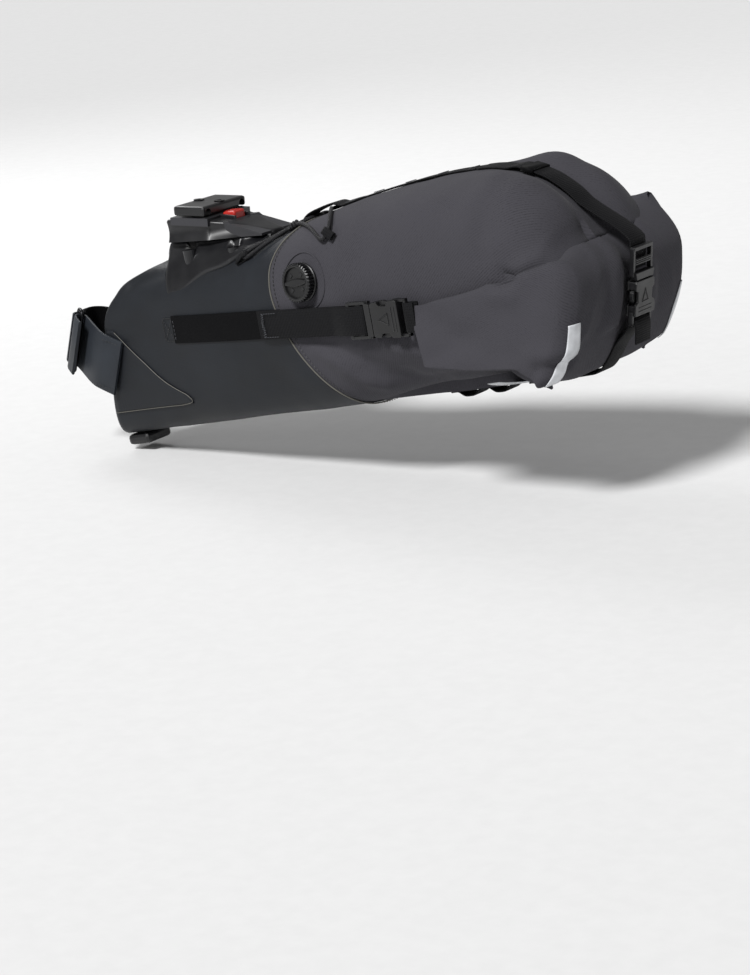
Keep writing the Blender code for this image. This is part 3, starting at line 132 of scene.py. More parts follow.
def twillPolyester():
    # woven polyester twill, piece-dyed: matt, with a fine diagonal rib and slightly uneven yarn shade.
    # The real rib is 0.8 mm apart; it is drawn 1.7 mm apart to show.
    mat = newMaterial("twill polyester, woven", "#2f2e32", 0.9, Specular_IOR_Level=0.22, Sheen_Weight=0.03,
                      Sheen_Roughness=0.45)
    cloth = (addNode(mat, "ShaderNodeUVMap"), "UV")
    rib = stripes(mat, cloth, 0.0017, "DIAGONAL")
    yarn = addNode(mat, "ShaderNodeTexNoise", Vector=cloth, Scale=620.0, Detail=2.0)
    shade = addNode(mat, "ShaderNodeTexNoise", Vector=cloth, Scale=22.0, Detail=3.0)
    height = addNode(mat, "ShaderNodeMath", {"operation": "MULTIPLY_ADD"}, s0=(rib, "Fac"), s1=0.7,
                     s2=(yarn, "Fac"))
    tone = addNode(mat, "ShaderNodeMath", {"operation": "MULTIPLY_ADD"}, s0=(shade, "Fac"), s1=0.8,
                   s2=(height, "Value"))
    ramp = colourBetween(mat, (tone, "Value"), "#1b1a1d", "#3b3a3f", 0.35, 1.75)
    return finishShader(mat, (ramp, "Color"), height=(height, "Value"), strength=0.45, distance=0.0003)


def coatedLaminate(name="coated laminate, film on plain weave", dark="#0b0d11", light="#191d23"):
    # polyurethane-coated polyester: smoother and bluer than the twill, with the plain weave faint under
    # the film, and soft clouding where it has been handled
    mat = newMaterial(name, "#181b20", 0.6, Specular_IOR_Level=0.3, Sheen_Weight=0.02, Sheen_Roughness=0.5)
    cloth = (addNode(mat, "ShaderNodeUVMap"), "UV")
    warp = stripes(mat, cloth, 0.0013, "X")
    weft = stripes(mat, cloth, 0.0013, "Y")
    weave = addNode(mat, "ShaderNodeMath", {"operation": "MULTIPLY"}, s0=(warp, "Fac"), s1=(weft, "Fac"))
    cloud = addNode(mat, "ShaderNodeTexNoise", Vector=cloth, Scale=16.0, Detail=5.0, Roughness=0.6)
    tone = addNode(mat, "ShaderNodeMath", {"operation": "MULTIPLY_ADD"}, s0=(weave, "Value"),
                   s1=0.25, s2=(cloud, "Fac"))
    ramp = colourBetween(mat, (tone, "Value"), dark, light, 0.3, 0.85)
    gloss = addNode(mat, "ShaderNodeMapRange", s0=(cloud, "Fac"), s1=0.3, s2=0.7, s3=0.48, s4=0.62)
    return finishShader(mat, (ramp, "Color"), (gloss, "Result"), (weave, "Value"), 0.2, 0.0002)


def nylonWebbing():
    # needle-loom webbing: close cross ribs, with a painted highlight that colours the raised yarn crowns
    # lighter
    mat = newMaterial("nylon webbing, woven", "#0c0c0d", 0.7, Specular_IOR_Level=0.12, Sheen_Weight=0.03,
                      Sheen_Roughness=0.4)
    tape = (addNode(mat, "ShaderNodeUVMap"), "UV")
    rib = stripes(mat, tape, 0.0016, "X")
    yarn = stripes(mat, tape, 0.0020, "Y")
    fuzz = addNode(mat, "ShaderNodeTexNoise", Vector=tape, Scale=900.0, Detail=2.0)
    height = addNode(mat, "ShaderNodeMath", {"operation": "MULTIPLY_ADD"}, s0=(yarn, "Fac"), s1=0.5,
                     s2=(rib, "Fac"))
    tone = addNode(mat, "ShaderNodeMath", {"operation": "MULTIPLY_ADD"}, s0=(fuzz, "Fac"), s1=0.8,
                   s2=(height, "Value"))
    # painted highlight: the rib and yarn height also lightens the colour on the raised crowns
    ramp = colourBetween(mat, (tone, "Value"), "#030304", "#121214", 0.3, 2.1)
    return finishShader(mat, (ramp, "Color"), height=(height, "Value"), strength=0.6, distance=0.0003)


def loopPile():
    # brushed loop tape: a deep black that scatters light, without any rib
    mat = newMaterial("loop tape, brushed pile", "#0b0b0c", 0.95, Specular_IOR_Level=0.06,
                      Sheen_Weight=0.02, Sheen_Roughness=0.6)
    tape = (addNode(mat, "ShaderNodeUVMap"), "UV")
    pile = addNode(mat, "ShaderNodeTexNoise", Vector=tape, Scale=1400.0, Detail=3.0, Roughness=0.7)
    ramp = colourBetween(mat, (pile, "Fac"), "#030304", "#0d0d0f", 0.3, 0.75)
    return finishShader(mat, (ramp, "Color"), height=(pile, "Fac"), strength=0.8, distance=0.0006)


def moulded(name, colour, edge, roughness):
    # injection-moulded plastic with a spark-eroded grain: even colour and gloss that vary a little in
    # smears, and a painted highlight that makes the sharp edges paler
    mat = newMaterial(name, colour, roughness)
    where = (addNode(mat, "ShaderNodeTexCoord"), "Object")
    pits = addNode(mat, "ShaderNodeTexNoise", Vector=where, Scale=1.0 / 0.0009, Detail=2.0)
    smears = addNode(mat, "ShaderNodeTexNoise", Vector=where, Scale=70.0, Detail=4.0)
    surface = addNode(mat, "ShaderNodeNewGeometry")
    # painted highlight: the sharper the edge, the more it takes the paler second colour
    edgeHighlightMask = addNode(mat, "ShaderNodeMapRange", s0=(surface, "Pointiness"), s1=0.52, s2=0.62, s3=0.0, s4=1.0)
    tone = addNode(mat, "ShaderNodeMath", {"operation": "MULTIPLY_ADD"}, s0=(smears, "Fac"), s1=0.35,
                   s2=(edgeHighlightMask, "Result"))
    # the second colour is the painted edge highlight, and also the light end of the random smears
    ramp = colourBetween(mat, (tone, "Value"), colour, edge, 0.1, 1.2)
    gloss = addNode(mat, "ShaderNodeMapRange", s0=(smears, "Fac"), s1=0.3, s2=0.7, s3=roughness - 0.06,
                    s4=roughness + 0.08)
    return finishShader(mat, (ramp, "Color"), (gloss, "Result"), (pits, "Fac"), 0.12, 0.0001)


def elasticSheath():
    # braided sheath over a rubber core: small slanting strands round the cord
    mat = newMaterial("elastic cord, braided sheath", "#111113", 0.6, Specular_IOR_Level=0.25,
                      Sheen_Weight=0.03)
    along = (addNode(mat, "ShaderNodeUVMap"), "UV")
    one = stripes(mat, along, 0.0011, "DIAGONAL")
    ramp = colourBetween(mat, (one, "Fac"), "#070708", "#212124", 0.1, 0.9)
    return finishShader(mat, (ramp, "Color"), height=(one, "Fac"), strength=0.6, distance=0.0003)


def reflectiveFilm():
    # glass-bead transfer film: pale warm grey, finely beaded
    mat = newMaterial("reflective film, glass bead", "#cfcfd1", 0.38, Specular_IOR_Level=0.7)
    where = (addNode(mat, "ShaderNodeTexCoord"), "Object")
    beads = addNode(mat, "ShaderNodeTexVoronoi", Vector=where, Scale=1500.0)
    dirt = addNode(mat, "ShaderNodeTexNoise", Vector=where, Scale=60.0, Detail=4.0)
    ramp = colourBetween(mat, (dirt, "Fac"), "#a9abae", "#d6d8dc", 0.3, 0.65)
    return finishShader(mat, (ramp, "Color"), height=(beads, "Distance"), strength=0.15, distance=0.0001)


def steel(name, colour, roughness):
    # pressed or cold-headed steel: brushed a little along the wire, and scuffed
    mat = newMaterial(name, colour, roughness, Metallic=1.0)
    where = (addNode(mat, "ShaderNodeTexCoord"), "Object")
    scuffs = addNode(mat, "ShaderNodeTexNoise", Vector=where, Scale=260.0, Detail=5.0)
    gloss = addNode(mat, "ShaderNodeMapRange", s0=(scuffs, "Fac"), s1=0.3, s2=0.7, s3=roughness - 0.1,
                    s4=roughness + 0.12)
    return finishShader(mat, None, (gloss, "Result"), (scuffs, "Fac"), 0.1, 0.0001)


def sewingThread(name, colour):
    # bonded polyester thread: a little gloss on a tight twist
    return newMaterial(name, colour, 0.5, Sheen_Weight=0.1)


def plainSheet():
    # extruded polyethylene sheet, inside the bag
    mat = newMaterial("polyethylene sheet, extruded", "#2b2b2c", 0.45)
    where = (addNode(mat, "ShaderNodeTexCoord"), "Object")
    lines = addNode(mat, "ShaderNodeTexNoise", Vector=where, Scale=120.0)
    return finishShader(mat, None, None, (lines, "Fac"), 0.1, 0.0001)


twill = twillPolyester()
laminate = coatedLaminate()
webbing = nylonWebbing()
pile = loopPile()
# the second colour of each moulded plastic is its painted highlight on sharp edges
acetal = moulded("acetal, moulded black", "#070708", "#161618", 0.38)
greyNylon = moulded("glass-filled nylon, moulded grey", "#111113", "#2c2c30", 0.36)
baseNylon = moulded("nylon, moulded dark grey", "#0c0c0f", "#1d1e21", 0.36)
redPlastic = moulded("acetal, moulded red", "#8e0f0b", "#b8261d", 0.36)
cordSheath = elasticSheath()
film = reflectiveFilm()
blackSteel = steel("steel, black oxide", "#2a2a2c", 0.36)
zincSteel = steel("steel, zinc plated", "#a8a9ab", 0.32)
sheet = plainSheet()
blackThread = sewingThread("thread, black", "#0b0b0c")
greyThread = sewingThread("thread, grey", "#35373c")
# pale grey painted highlight for the raised laminate edges at the seam and round the nose patches
paintedEdgeHighlight = newMaterial("laminate edge, painted highlight", "#5a5852", 0.6)
print("materials made")


def newPiece(name, mesh, mat, body, replaced=(), smooth=True):
    obj = bpy.data.objects.new(name, mesh)
    bpy.context.scene.collection.objects.link(obj)
    mesh.materials.clear()
    mesh.materials.append(mat)
    if smooth:
        mesh.shade_smooth()
        mesh.set_sharp_from_angle(angle=math.radians(42))
    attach(obj, body)
    if replaced:
        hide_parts(*replaced)
    return obj


def meshOf(name, points, faces, uvs=None):
    mesh = bpy.data.meshes.new(name)
    mesh.from_pydata([tuple(p) for p in points], [], faces)
    if uvs is not None:
        layer = mesh.uv_layers.new(name="UVMap")
        for loop in mesh.loops:
            layer.data[loop.index].uv = uvs[loop.vertex_index]
    return mesh


def closedSkin(name, rows, frameMatrix, loopAcross=True):
    # one face between each four neighbours in rows of points, as rings or as an open sheet
    count = len(rows[0])
    span = count if loopAcross else count - 1
    points = [frameMatrix @ Vector(p) for row in rows for p in row]
    faces = []
    for i in range(len(rows) - 1):
        for j in range(span):
            k = (j + 1) % count
            faces.append((i * count + j, i * count + k, (i + 1) * count + k, (i + 1) * count + j))
    return meshOf(name, points, faces, clothUv(rows))


def clothUv(rows):
    # cloth coordinates in metres, along the rows and round them
    uvs = []
    grid = [[Vector(p) for p in row] for row in rows]
    count = len(grid[0])
    middle = grid[len(grid) // 2]
    across = [0.0]
    for j in range(1, count):
        across.append(across[-1] + (middle[j] - middle[j - 1]).length)
    along = [0.0] * count
    for i, row in enumerate(grid):
        if i:
            along = [a + (row[j] - grid[i - 1][j]).length for j, a in enumerate(along)]
        mean = sum(along) / count
        uvs += [(mean, across[j]) for j in range(count)]
    return uvs


def solidify(obj, thick, offset=-1.0):
    wall = obj.modifiers.new("cloth", "SOLIDIFY")
    wall.thickness = thick
    wall.offset = offset


def spread(low, high, count):
    return [low + (high - low) * i / (count - 1) for i in range(count)]


def curveThrough(knots):
    # a smooth curve through (position, value) knots
    at = [k[0] for k in knots]
    height = [k[1] for k in knots]
    slopes = [float(v) for v in np.gradient(height, at)]

    def valueAt(value):
        i = min(max(bisect.bisect_left(at, value) - 1, 0), len(at) - 2)
        gap = at[i + 1] - at[i]
        t = min(max((value - at[i]) / gap, 0.0), 1.0)
        first = (1 + 2 * t) * (1 - t) ** 2 * height[i] + t * (1 - t) ** 2 * gap * slopes[i]
        return first + t * t * (3 - 2 * t) * height[i + 1] - t * t * (1 - t) * gap * slopes[i + 1]
    return valueAt


def bevelled(obj, width, segments=2, angle=35.0):
    rounding = obj.modifiers.new("rounding", "BEVEL")
    rounding.width = width
    rounding.segments = segments
    rounding.limit_method = "ANGLE"
    rounding.angle_limit = math.radians(angle)


def block(bm, low, high):
    made = bmesh.ops.create_cube(bm, size=1.0)["verts"]
    size = [b - a for a, b in zip(low, high)]
    middle = [(a + b) / 2 for a, b in zip(low, high)]
    bmesh.ops.scale(bm, vec=size, verts=made)
    bmesh.ops.translate(bm, vec=middle, verts=made)
    return made


def plate(bm, outline, low, high):
    # an (x, y) outline raised between two heights
    bottom = [bm.verts.new((x, y, low)) for x, y in outline]
    lid = [bm.verts.new((x, y, high)) for x, y in outline]
    bm.faces.new(list(reversed(bottom)))
    bm.faces.new(lid)
    count = len(outline)
    for i in range(count):
        j = (i + 1) % count
        bm.faces.new((bottom[i], bottom[j], lid[j], lid[i]))


def fromBmesh(bm, name, matrix):
    bmesh.ops.recalc_face_normals(bm, faces=bm.faces)
    bm.transform(matrix)
    mesh = bpy.data.meshes.new(name)
    bm.to_mesh(mesh)
    bm.free()
    return mesh


def lathe(bm, profile, sides):
    # a turned ring or disc about Z: (radius, height) points
    rings = []
    for r, z in profile:
        rings.append([bm.verts.new((r * math.cos(2 * math.pi * k / sides),
                                    r * math.sin(2 * math.pi * k / sides), z))
                      for k in range(sides)])
    for a, b in zip(rings, rings[1:]):
        for k in range(sides):
            n = (k + 1) % sides
            bm.faces.new((a[k], a[n], b[n], b[k]))
    bm.faces.new(rings[0])
    bm.faces.new(list(reversed(rings[-1])))


bag = {"nose": -0.140, "mouth": 0.336, "noseWide": 0.060, "waist": 0.112, "rear": 0.150, "depth": 0.130,
       "crown": 0.029, "boxiness": 3.2, "seam": 0.070, "flatEnd": 0.058, "mouthLean": 0.040,
       "cloth": 0.0016}
rise = bag["mouth"] - bag["flatEnd"]
crown = bag["crown"]
mouth = bag["mouth"]
topKnots = [(bag["nose"], -0.001), (-0.060, 0.002), (0.0, 0.0035), (bag["flatEnd"], 0.0065)]
topKnots += [(bag["flatEnd"] + share * rise, height) for share, height in
             ((0.13, 0.0150), (0.26, 0.0215), (0.42, 0.0265), (0.62, crown), (0.75, crown - 0.003))]
topKnots += [(mouth - back, crown - drop) for back, drop in
             ((0.049, 0.010), (0.030, 0.021), (0.013, 0.039), (0.0, 0.063))]
halfKnots = [(bag["nose"], bag["noseWide"] / 2), (-0.060, bag["noseWide"] / 2 + 0.007),
             (0.0, bag["waist"] / 2 - 0.009), (bag["seam"], bag["waist"] / 2),
             (0.45 * mouth, bag["waist"] / 4 + bag["rear"] / 4 + 0.002),
             (0.66 * mouth, bag["rear"] / 2 - 0.001),
             (mouth - 0.050, bag["rear"] / 2), (mouth - 0.024, bag["rear"] / 2 - 0.003),
             (mouth, bag["rear"] / 2 - 0.012)]
noseKnots = [(0.0, bag["nose"]), (0.45, bag["nose"] + 0.016), (0.86, bag["nose"] + 0.032),
             (0.95, bag["nose"] + 0.050), (1.0, bag["nose"] + 0.076)]
seamKnots = [(0.0, 0.054), (0.2, 0.031), (0.4, 0.013), (0.59, 0.003), (0.76, 0.0), (0.87, 0.003),
             (0.95, 0.012),
             (1.0, 0.025)]


topAt = curveThrough(topKnots)
halfAt = curveThrough(halfKnots)
noseCurve = curveThrough(noseKnots)
seamCurve = curveThrough(seamKnots)


def rounded(value):
    return math.copysign(abs(value) ** (2.0 / bag["boxiness"]), value)


def surfaceAt(u, angle, grow=0.0):
    middle = (topAt(u) - bag["depth"]) / 2
    tall = (topAt(u) + bag["depth"]) / 2 + grow
    return Vector((u, (halfAt(u) + grow) * rounded(math.cos(angle)),
                   middle + tall * rounded(math.sin(angle))))


def heightAt(u, y):
    share = min(abs(y) / halfAt(u), 0.999)
    middle = (topAt(u) - bag["depth"]) / 2
    return middle + (topAt(u) - middle) * (1 - share ** bag["boxiness"]) ** (1 / bag["boxiness"])


def sideAt(u, w):
    middle = (topAt(u) - bag["depth"]) / 2
    share = min(abs(w - middle) / (topAt(u) - middle), 0.999)
    return halfAt(u) * (1 - share ** bag["boxiness"]) ** (1 / bag["boxiness"])


def shareOf(u, angle):
    return (surfaceAt(u, angle).z + bag["depth"]) / (topAt(u) + bag["depth"])


def noseAt(angle):
    return noseCurve(shareOf(-0.100, angle))


def seamAt(angle):
    return bag["seam"] + seamCurve(shareOf(bag["seam"] + 0.02, angle))


def mouthAt(w):
    rim = crown - 0.063
    return mouth - bag["mouthLean"] * max((rim - w) / (rim + bag["depth"]), 0.0) ** 2.2


def mouthU(angle):
    u = mouth
    for _ in range(30):
        u = 0.5 * u + 0.5 * mouthAt(surfaceAt(u, angle).z)
    return u


# each fold: side (-1 left, 1 right, 0 both), from (u, w), to (u, w), half width, height out of the cloth
folds = [
    (0, (0.102, -0.078), (0.140, -0.092), 0.0060, 0.0016),
    (0, (0.100, -0.070), (0.180, -0.106), 0.0075, -0.0018),
    (0, (0.118, -0.088), (0.152, -0.116), 0.0070, 0.0018),
    (0, (0.140, -0.100), (0.196, -0.122), 0.0080, -0.0016),
    (0, (0.172, -0.080), (0.206, -0.092), 0.0060, 0.0014),
    (-1, (0.283, 0.012), (0.278, -0.026), 0.0090, -0.0016),
    (-1, (0.262, 0.004), (0.258, -0.030), 0.0110, 0.0010),
    (-1, (0.322, -0.022), (0.344, -0.034), 0.0120, -0.0030),
    (-1, (0.290, -0.041), (0.300, -0.045), 0.0026, -0.0016),
    (-1, (0.300, -0.040), (0.316, -0.036), 0.0050, 0.0012),
    (1, (0.300, 0.008), (0.292, -0.024), 0.0100, -0.0018),
    (1, (0.240, 0.004), (0.252, -0.034), 0.0100, 0.0012),
    (1, (0.150, 0.004), (0.170, -0.030), 0.0120, -0.0012),
    (-1, (0.128, -0.006), (0.150, 0.006), 0.0090, -0.0009),
    (0, (0.205, -0.118), (0.262, -0.124), 0.0070, -0.0016),
]


def fromLine(here, first, last, wide):
    # place along a crease's line, and distance from it in half widths
    a = Vector(first)
    run = Vector(last) - a
    t = min(max((here - a).dot(run) / run.length_squared, 0.0), 1.0)
    return t, (here - a - run * t).length / wide


def creases(here, lines):
    total = 0.0
    for first, last, wide, high in lines:
        away = fromLine(here, first, last, wide)[1]
        total += high * math.exp(-away * away)
    return total


def foldHeight(side, u, w):
    total = 0.0
    for which, first, last, wide, high in folds:
        if which and which != side:
            continue
        t, away = fromLine(Vector((u, w)), first, last, wide)
        if away < 3.0:
            total += high * math.exp(-away * away) * (0.45 + 0.55
                                                      * math.sin(math.pi * min(max(t, 0.08), 0.92)))
    return total


def softness(point, coarse, fine):
    big = noise.noise(Vector(point) * 16.0 + Vector((3.1, 0.0, 7.7)))
    small = noise.noise(Vector(point) * 47.0 + Vector((0.0, 5.3, 1.9)))
    return coarse * big + fine * small


def tuck(u, w):
    # the lower side runs in under the wings
    along = min(max((u - 0.105) / 0.09, 0.0), 1.0)
    down = min(max((-0.078 - w) / 0.045, 0.0), 1.0)
    return 0.0085 * along * along * (3 - 2 * along) * down * down * (3 - 2 * down)


def shellPush(point):
    # how far the main cloth stands off its even shape
    u, y, w = point
    side = -1 if y < 0 else 1
    push = softness(point, 0.0010, 0.0005)
    if abs(y) > 0.3 * halfAt(u):
        push += 1.9 * foldHeight(side, u, w) - tuck(u, w)
    overStrap = math.exp(-((u - 0.300) / 0.040) ** 4) * (w > -0.045)
    push += overStrap * (0.0034 * math.exp(-((abs(y) - 0.034) / 0.016) ** 2)
                         - 0.0006 * math.exp(-(y / 0.012) ** 2))
    far = 1.0 if y > 0 else 0.55
    rear = math.exp(-((u - 0.304) / 0.034) ** 4)
    push += far * rear * 0.0085 * math.exp(-((abs(y) - 0.042) / 0.024) ** 4) * (w > -0.06)
    nearStrap = math.exp(-((abs(y) - 0.014) / 0.004) ** 2) * math.exp(-((u - 0.295) / 0.035) ** 4)
    push -= 0.0010 * nearStrap * (w > -0.045)
    if w < -0.10:
        push = min(push, 0.0012)
    return push


def outward(rows, i, j):
    count = len(rows[0])
    before = rows[max(i - 1, 0)][j]
    after = rows[min(i + 1, len(rows) - 1)][j]
    left = rows[i][(j - 1) % count]
    right = rows[i][(j + 1) % count]
    return (right - left).cross(after - before).normalized() * -1.0


def pushed(rows, pushAt):
    # every point moved along the cloth's outward direction
    out = []
    for i, row in enumerate(rows):
        line = []
        for j, point in enumerate(row):
            normal = outward(rows, i, j)
            if normal.dot(point - Vector((point.x, 0.0, -0.055))) < 0:
                normal = -normal
            line.append(point + normal * pushAt(point))
        out.append(line)
    return out


def makeMainCloth():
    around, along = 168, 118
    angles = [-math.pi / 2 + 2 * math.pi * j / around for j in range(around)]
    starts = [seamAt(a) for a in angles]
    ends = [mouthU(a) for a in angles]
    rows = []
    for t in spread(0.0, 1.0, along):
        rows.append([surfaceAt(s * (1 - t) + e * t, a) for s, e, a in zip(starts, ends, angles)])

    def push(point):
        fade = min(1.0, max(0.0, (point.x - 0.070) / 0.02))
        return shellPush(point) * fade
    rows = pushed(rows, push)
    mesh = closedSkin("mainCloth", rows, bagFrame)
    obj = newPiece("mainCloth", mesh, twill, "bag", ("main_shell",))
    solidify(obj, bag["cloth"])


def laminatePush(point):
    lines = (((-0.090, -0.003), (-0.062, 0.000), 0.004, 0.0010),
             ((-0.086, -0.010), (-0.050, -0.006), 0.004, -0.0010),
             ((-0.060, -0.020), (0.040, -0.022), 0.010, 0.0008),
             ((-0.030, -0.090), (0.060, -0.100), 0.016, -0.0009))
    return softness(point, 0.0007, 0.0003) + creases(Vector((point[0], point[2])), lines)


def makeFrontPanel():
    around, along = 144, 84
    edge = 0.007  # rounding of the nose's front edge
    angles = [-math.pi / 2 + 2 * math.pi * j / around for j in range(around)]
    starts = [noseAt(a) for a in angles]
    ends = [seamAt(a) - 0.0002 for a in angles]
    flat = [surfaceAt(s, a) for s, a in zip(starts, angles)]
    rows = []
    for share, turn in ((0.0, 0), (0.25, 0), (0.5, 0), (0.75, 0), (0.92, 0), (1.0, 0), (1.0, 22),
                        (1.0, 45), (1.0, 67)):
        a = math.radians(turn)
        row = []
        for p in flat:
            small = math.copysign(min(edge, abs(p.y) * 0.5), p.y)
            ahead = abs(small) * 0.8 * (1 - math.cos(a))
            row.append(Vector((p.x + ahead, (p.y - small) * share + small * math.sin(a), p.z)))
        rows.append(row)
    body = []
    for t in spread(0.0, 1.0, along):
        row = []
        for s, e, a in zip(starts, ends, angles):
            p = surfaceAt(s + 0.0056 * (1 - t) ** 8 * min(1.0, abs(surfaceAt(s, a).y) / 0.012)
                          + (e - s) * t, a)
            row.append(p)
        body.append(row)
    body = pushed(body, lambda p: laminatePush(p) * min(1.0, max(0.0, (p.x + 0.120) / 0.03)))
    mesh = closedSkin("frontPanel", rows + body, bagFrame)
    obj = newPiece("frontPanel", mesh, laminate, "bag", ("front_shell",))
    weld = obj.modifiers.new("join", "WELD")
    weld.merge_threshold = 0.00005
    solidify(obj, bag["cloth"])


makeMainCloth()
makeFrontPanel()
print("bag shells made")


def smoothPath(points, spacing, closed=False):
    # a smooth curve through given points, as evenly spaced points
    points = [Vector(p) for p in points]
    count = len(points)
    out = []
    for i in range(count if closed else count - 1):
        if closed:
            a, b, c, d = (points[(i + k) % count] for k in (-1, 0, 1, 2))
        else:
            b, c = points[i], points[i + 1]
            a = points[i - 1] if i else b * 2 - c
            d = points[i + 2] if i + 2 < count else c * 2 - b
        steps = max(1, round((c - b).length / spacing))
        for j in range(steps):
            t = j / steps
            out.append(0.5 * ((2 * b) + (c - a) * t + (2 * a - 5 * b + 4 * c - d) * t ** 2
                              + (3 * b - a - 3 * c + d) * t ** 3))
    if not closed:
        out.append(points[-1])
    return out


def tubeMesh(name, path, radius, sides=8, closed=False, matrix=Matrix.Identity(4)):
    # a round tube with the least twist along a path of points
    points = [matrix @ p for p in path]
    count = len(points)
    rows = []
    ends = [points[(i + 1) % count] - points[i - 1] if closed or 0 < i < count - 1 else
            (points[1] - points[0] if i == 0 else points[-1] - points[-2]) for i in range(count)]
    side = ends[0].orthogonal().normalized()
    for point, along in zip(points, ends):
        along = along.normalized()
        side = (side - along * side.dot(along)).normalized()
        other = along.cross(side)
        rows.append([point + (side * math.cos(2 * math.pi * k / sides)
                              + other * math.sin(2 * math.pi * k / sides)) * radius
                     for k in range(sides)])
    verts = [p for row in rows for p in row]
    faces = []
    for i in range(count if closed else count - 1):
        for k in range(sides):
            n = (k + 1) % sides
            a, b = i * sides, ((i + 1) % count) * sides
            faces.append((a + k, a + n, b + n, b + k))
    if not closed:
        faces.append(tuple(reversed(range(sides))))
        faces.append(tuple(range((count - 1) * sides, count * sides)))
    length = 0.0
    uvs = []
    for i in range(count):
        if i:
            length += (points[i] - points[i - 1]).length
        uvs += [(length, 2 * math.pi * radius * k / sides) for k in range(sides)]
    return meshOf(name, verts, faces, uvs)


def stitchRun(points, normals, length=0.0021, gap=0.0011, radius=0.00026):
    # short domed stitches along a line on the cloth, as (vertices, faces)
    verts = []
    faces = []
    travel = [0.0]
    for a, b in zip(points, points[1:]):
        travel.append(travel[-1] + (b - a).length)
    at = gap
    while at + length < travel[-1]:
        pair = []
        for where in (at, at + length):
            i = int(np.searchsorted(travel, where)) - 1
            i = min(max(i, 0), len(points) - 2)
            t = (where - travel[i]) / max(travel[i + 1] - travel[i], 1e-9)
            pair.append((points[i].lerp(points[i + 1], t), normals[i].lerp(normals[i + 1], t).normalized()))
        (a, na), (b, nb) = pair
        along = (b - a).normalized()
        across = na.cross(along).normalized()
        base = len(verts)
        for t, lift, wide in ((0.0, -0.3, 0.5), (0.25, 0.75, 1.0), (0.75, 0.75, 1.0), (1.0, -0.3, 0.5)):
            middle = a.lerp(b, t) + na * radius * lift
            for k in range(5):
                turn = 2 * math.pi * k / 5
                verts.append(middle + (across * math.cos(turn) + na * math.sin(turn)) * radius * wide)
        for i in range(3):
            for k in range(5):
                n = (k + 1) % 5
                faces.append((base + i * 5 + k, base + i * 5 + n, base + (i + 1) * 5 + n,
                              base + (i + 1) * 5 + k))
        faces.append(tuple(base + k for k in reversed(range(5))))
        faces.append(tuple(base + 15 + k for k in range(5)))
        at += length + gap
    return verts, faces


def stitching(name, runs, mat, body, matrix, slotName="webbing", **sizes):
    verts = []
    faces = []
    for points, normals in runs:
        some, theirFaces = stitchRun([Vector(p) for p in points], [Vector(n) for n in normals], **sizes)
        faces += [tuple(len(verts) + i for i in face) for face in theirFaces]
        verts += some
    mesh = meshOf(name, [matrix @ v for v in verts], faces)
    return newPiece(name, mesh, mat, body)


def makeSeams():
    # the laminate's raised edge along the seam, coloured pale as a painted highlight, and its row of
    # stitches on the laminate
    angles = [-math.pi / 2 + 2 * math.pi * j / 220 for j in range(220)]
    edge = [surfaceAt(seamAt(a), a, 0.0003) for a in angles]
    newPiece("seamEdge", tubeMesh("seamEdge", edge, 0.00055, 6, True, bagFrame), paintedEdgeHighlight, "bag")
    points = [surfaceAt(seamAt(a) + 0.0045, a, 0.0003)
              for a in angles] + [surfaceAt(seamAt(angles[0]) + 0.0045, angles[0], 0.0003)]
    normals = [(p - Vector((p.x, 0.0, -0.055))).normalized() for p in points]
    stitching("seamStitches", [(points, normals)], blackThread, "bag", bagFrame, "twill")


makeSeams()
print("seams made")


# straps: a flat woven tape along a path, with its two long edges rounded

def chaikin(points, rounds=2):
    points = [Vector(p) for p in points]
    for _ in range(rounds):
        out = [points[0]]
        for a, b in zip(points, points[1:]):
            out += [a.lerp(b, 0.25), a.lerp(b, 0.75)]
        points = out + [points[-1]]
    return points


def tapeMesh(name, centres, across, width, thick, matrix, wobble=0.0):
    # centres run along the middle of the tape; across is its width direction
    section = []
    bulge = thick / 2
    inner = width / 2 - bulge
    for turn in (90, 45, 0, -45, -90):
        a = math.radians(turn)
        section.append((inner + bulge * math.cos(a), bulge * math.sin(a)))
    section += [(-x, z) for x, z in reversed(section)]
    section.insert(5, (0.0, -bulge * 1.04))
    section.append((0.0, bulge * 1.04))
    points = []
    uvs = []
    length = 0.0
    count = len(centres)
    for i, centre in enumerate(centres):
        before = centres[max(i - 1, 0)]
        after = centres[min(i + 1, count - 1)]
        along = (after - before).normalized()
        if i:
            length += (centre - before).length
        side = (across - along * across.dot(along)).normalized()
        out = along.cross(side).normalized()
        sway = wobble * (noise.noise(centre * 60.0) + 0.5 * noise.noise(centre * 170.0))
        for x, z in section:
            points.append(matrix @ (centre + side * x + out * (z + sway)))
            uvs.append((length, x + (0.05 if z < 0 else 0.0)))
    size = len(section)
    faces = []
    for i in range(count - 1):
        for j in range(size):
            k = (j + 1) % size
            faces.append((i * size + j, (i + 1) * size + j, (i + 1) * size + k, i * size + k))
    faces.append(tuple(range(size)))
    faces.append(tuple(reversed(range((count - 1) * size, count * size))))
    return meshOf(name, points, faces, uvs)


def leftHanded(path, thick):
    # the middle line of a tape whose outer face lies to the left of a (u, w) path
    points = [Vector((u, 0.0, w)) for u, w in path]
    out = []
    for i, point in enumerate(points):
        along = (points[min(i + 1, len(points) - 1)] - points[max(i - 1, 0)]).normalized()
        out.append(point + Vector((-along.z, 0.0, along.x)) * thick / 2)
    return out


def strapInPlane(name, path, width, thick, mat, body, replaced, frameMatrix=bagFrame, rounds=2,
                 wobble=0.0002, across=Vector((0.0, 1.0, 0.0)), turn=Matrix.Identity(4)):
    centres = [turn @ p for p in chaikin(leftHanded(path, thick), rounds)]
    mesh = tapeMesh(name, centres, turn.to_3x3() @ across, width, thick, frameMatrix, wobble)
    return newPiece(name, mesh, mat, body, replaced)


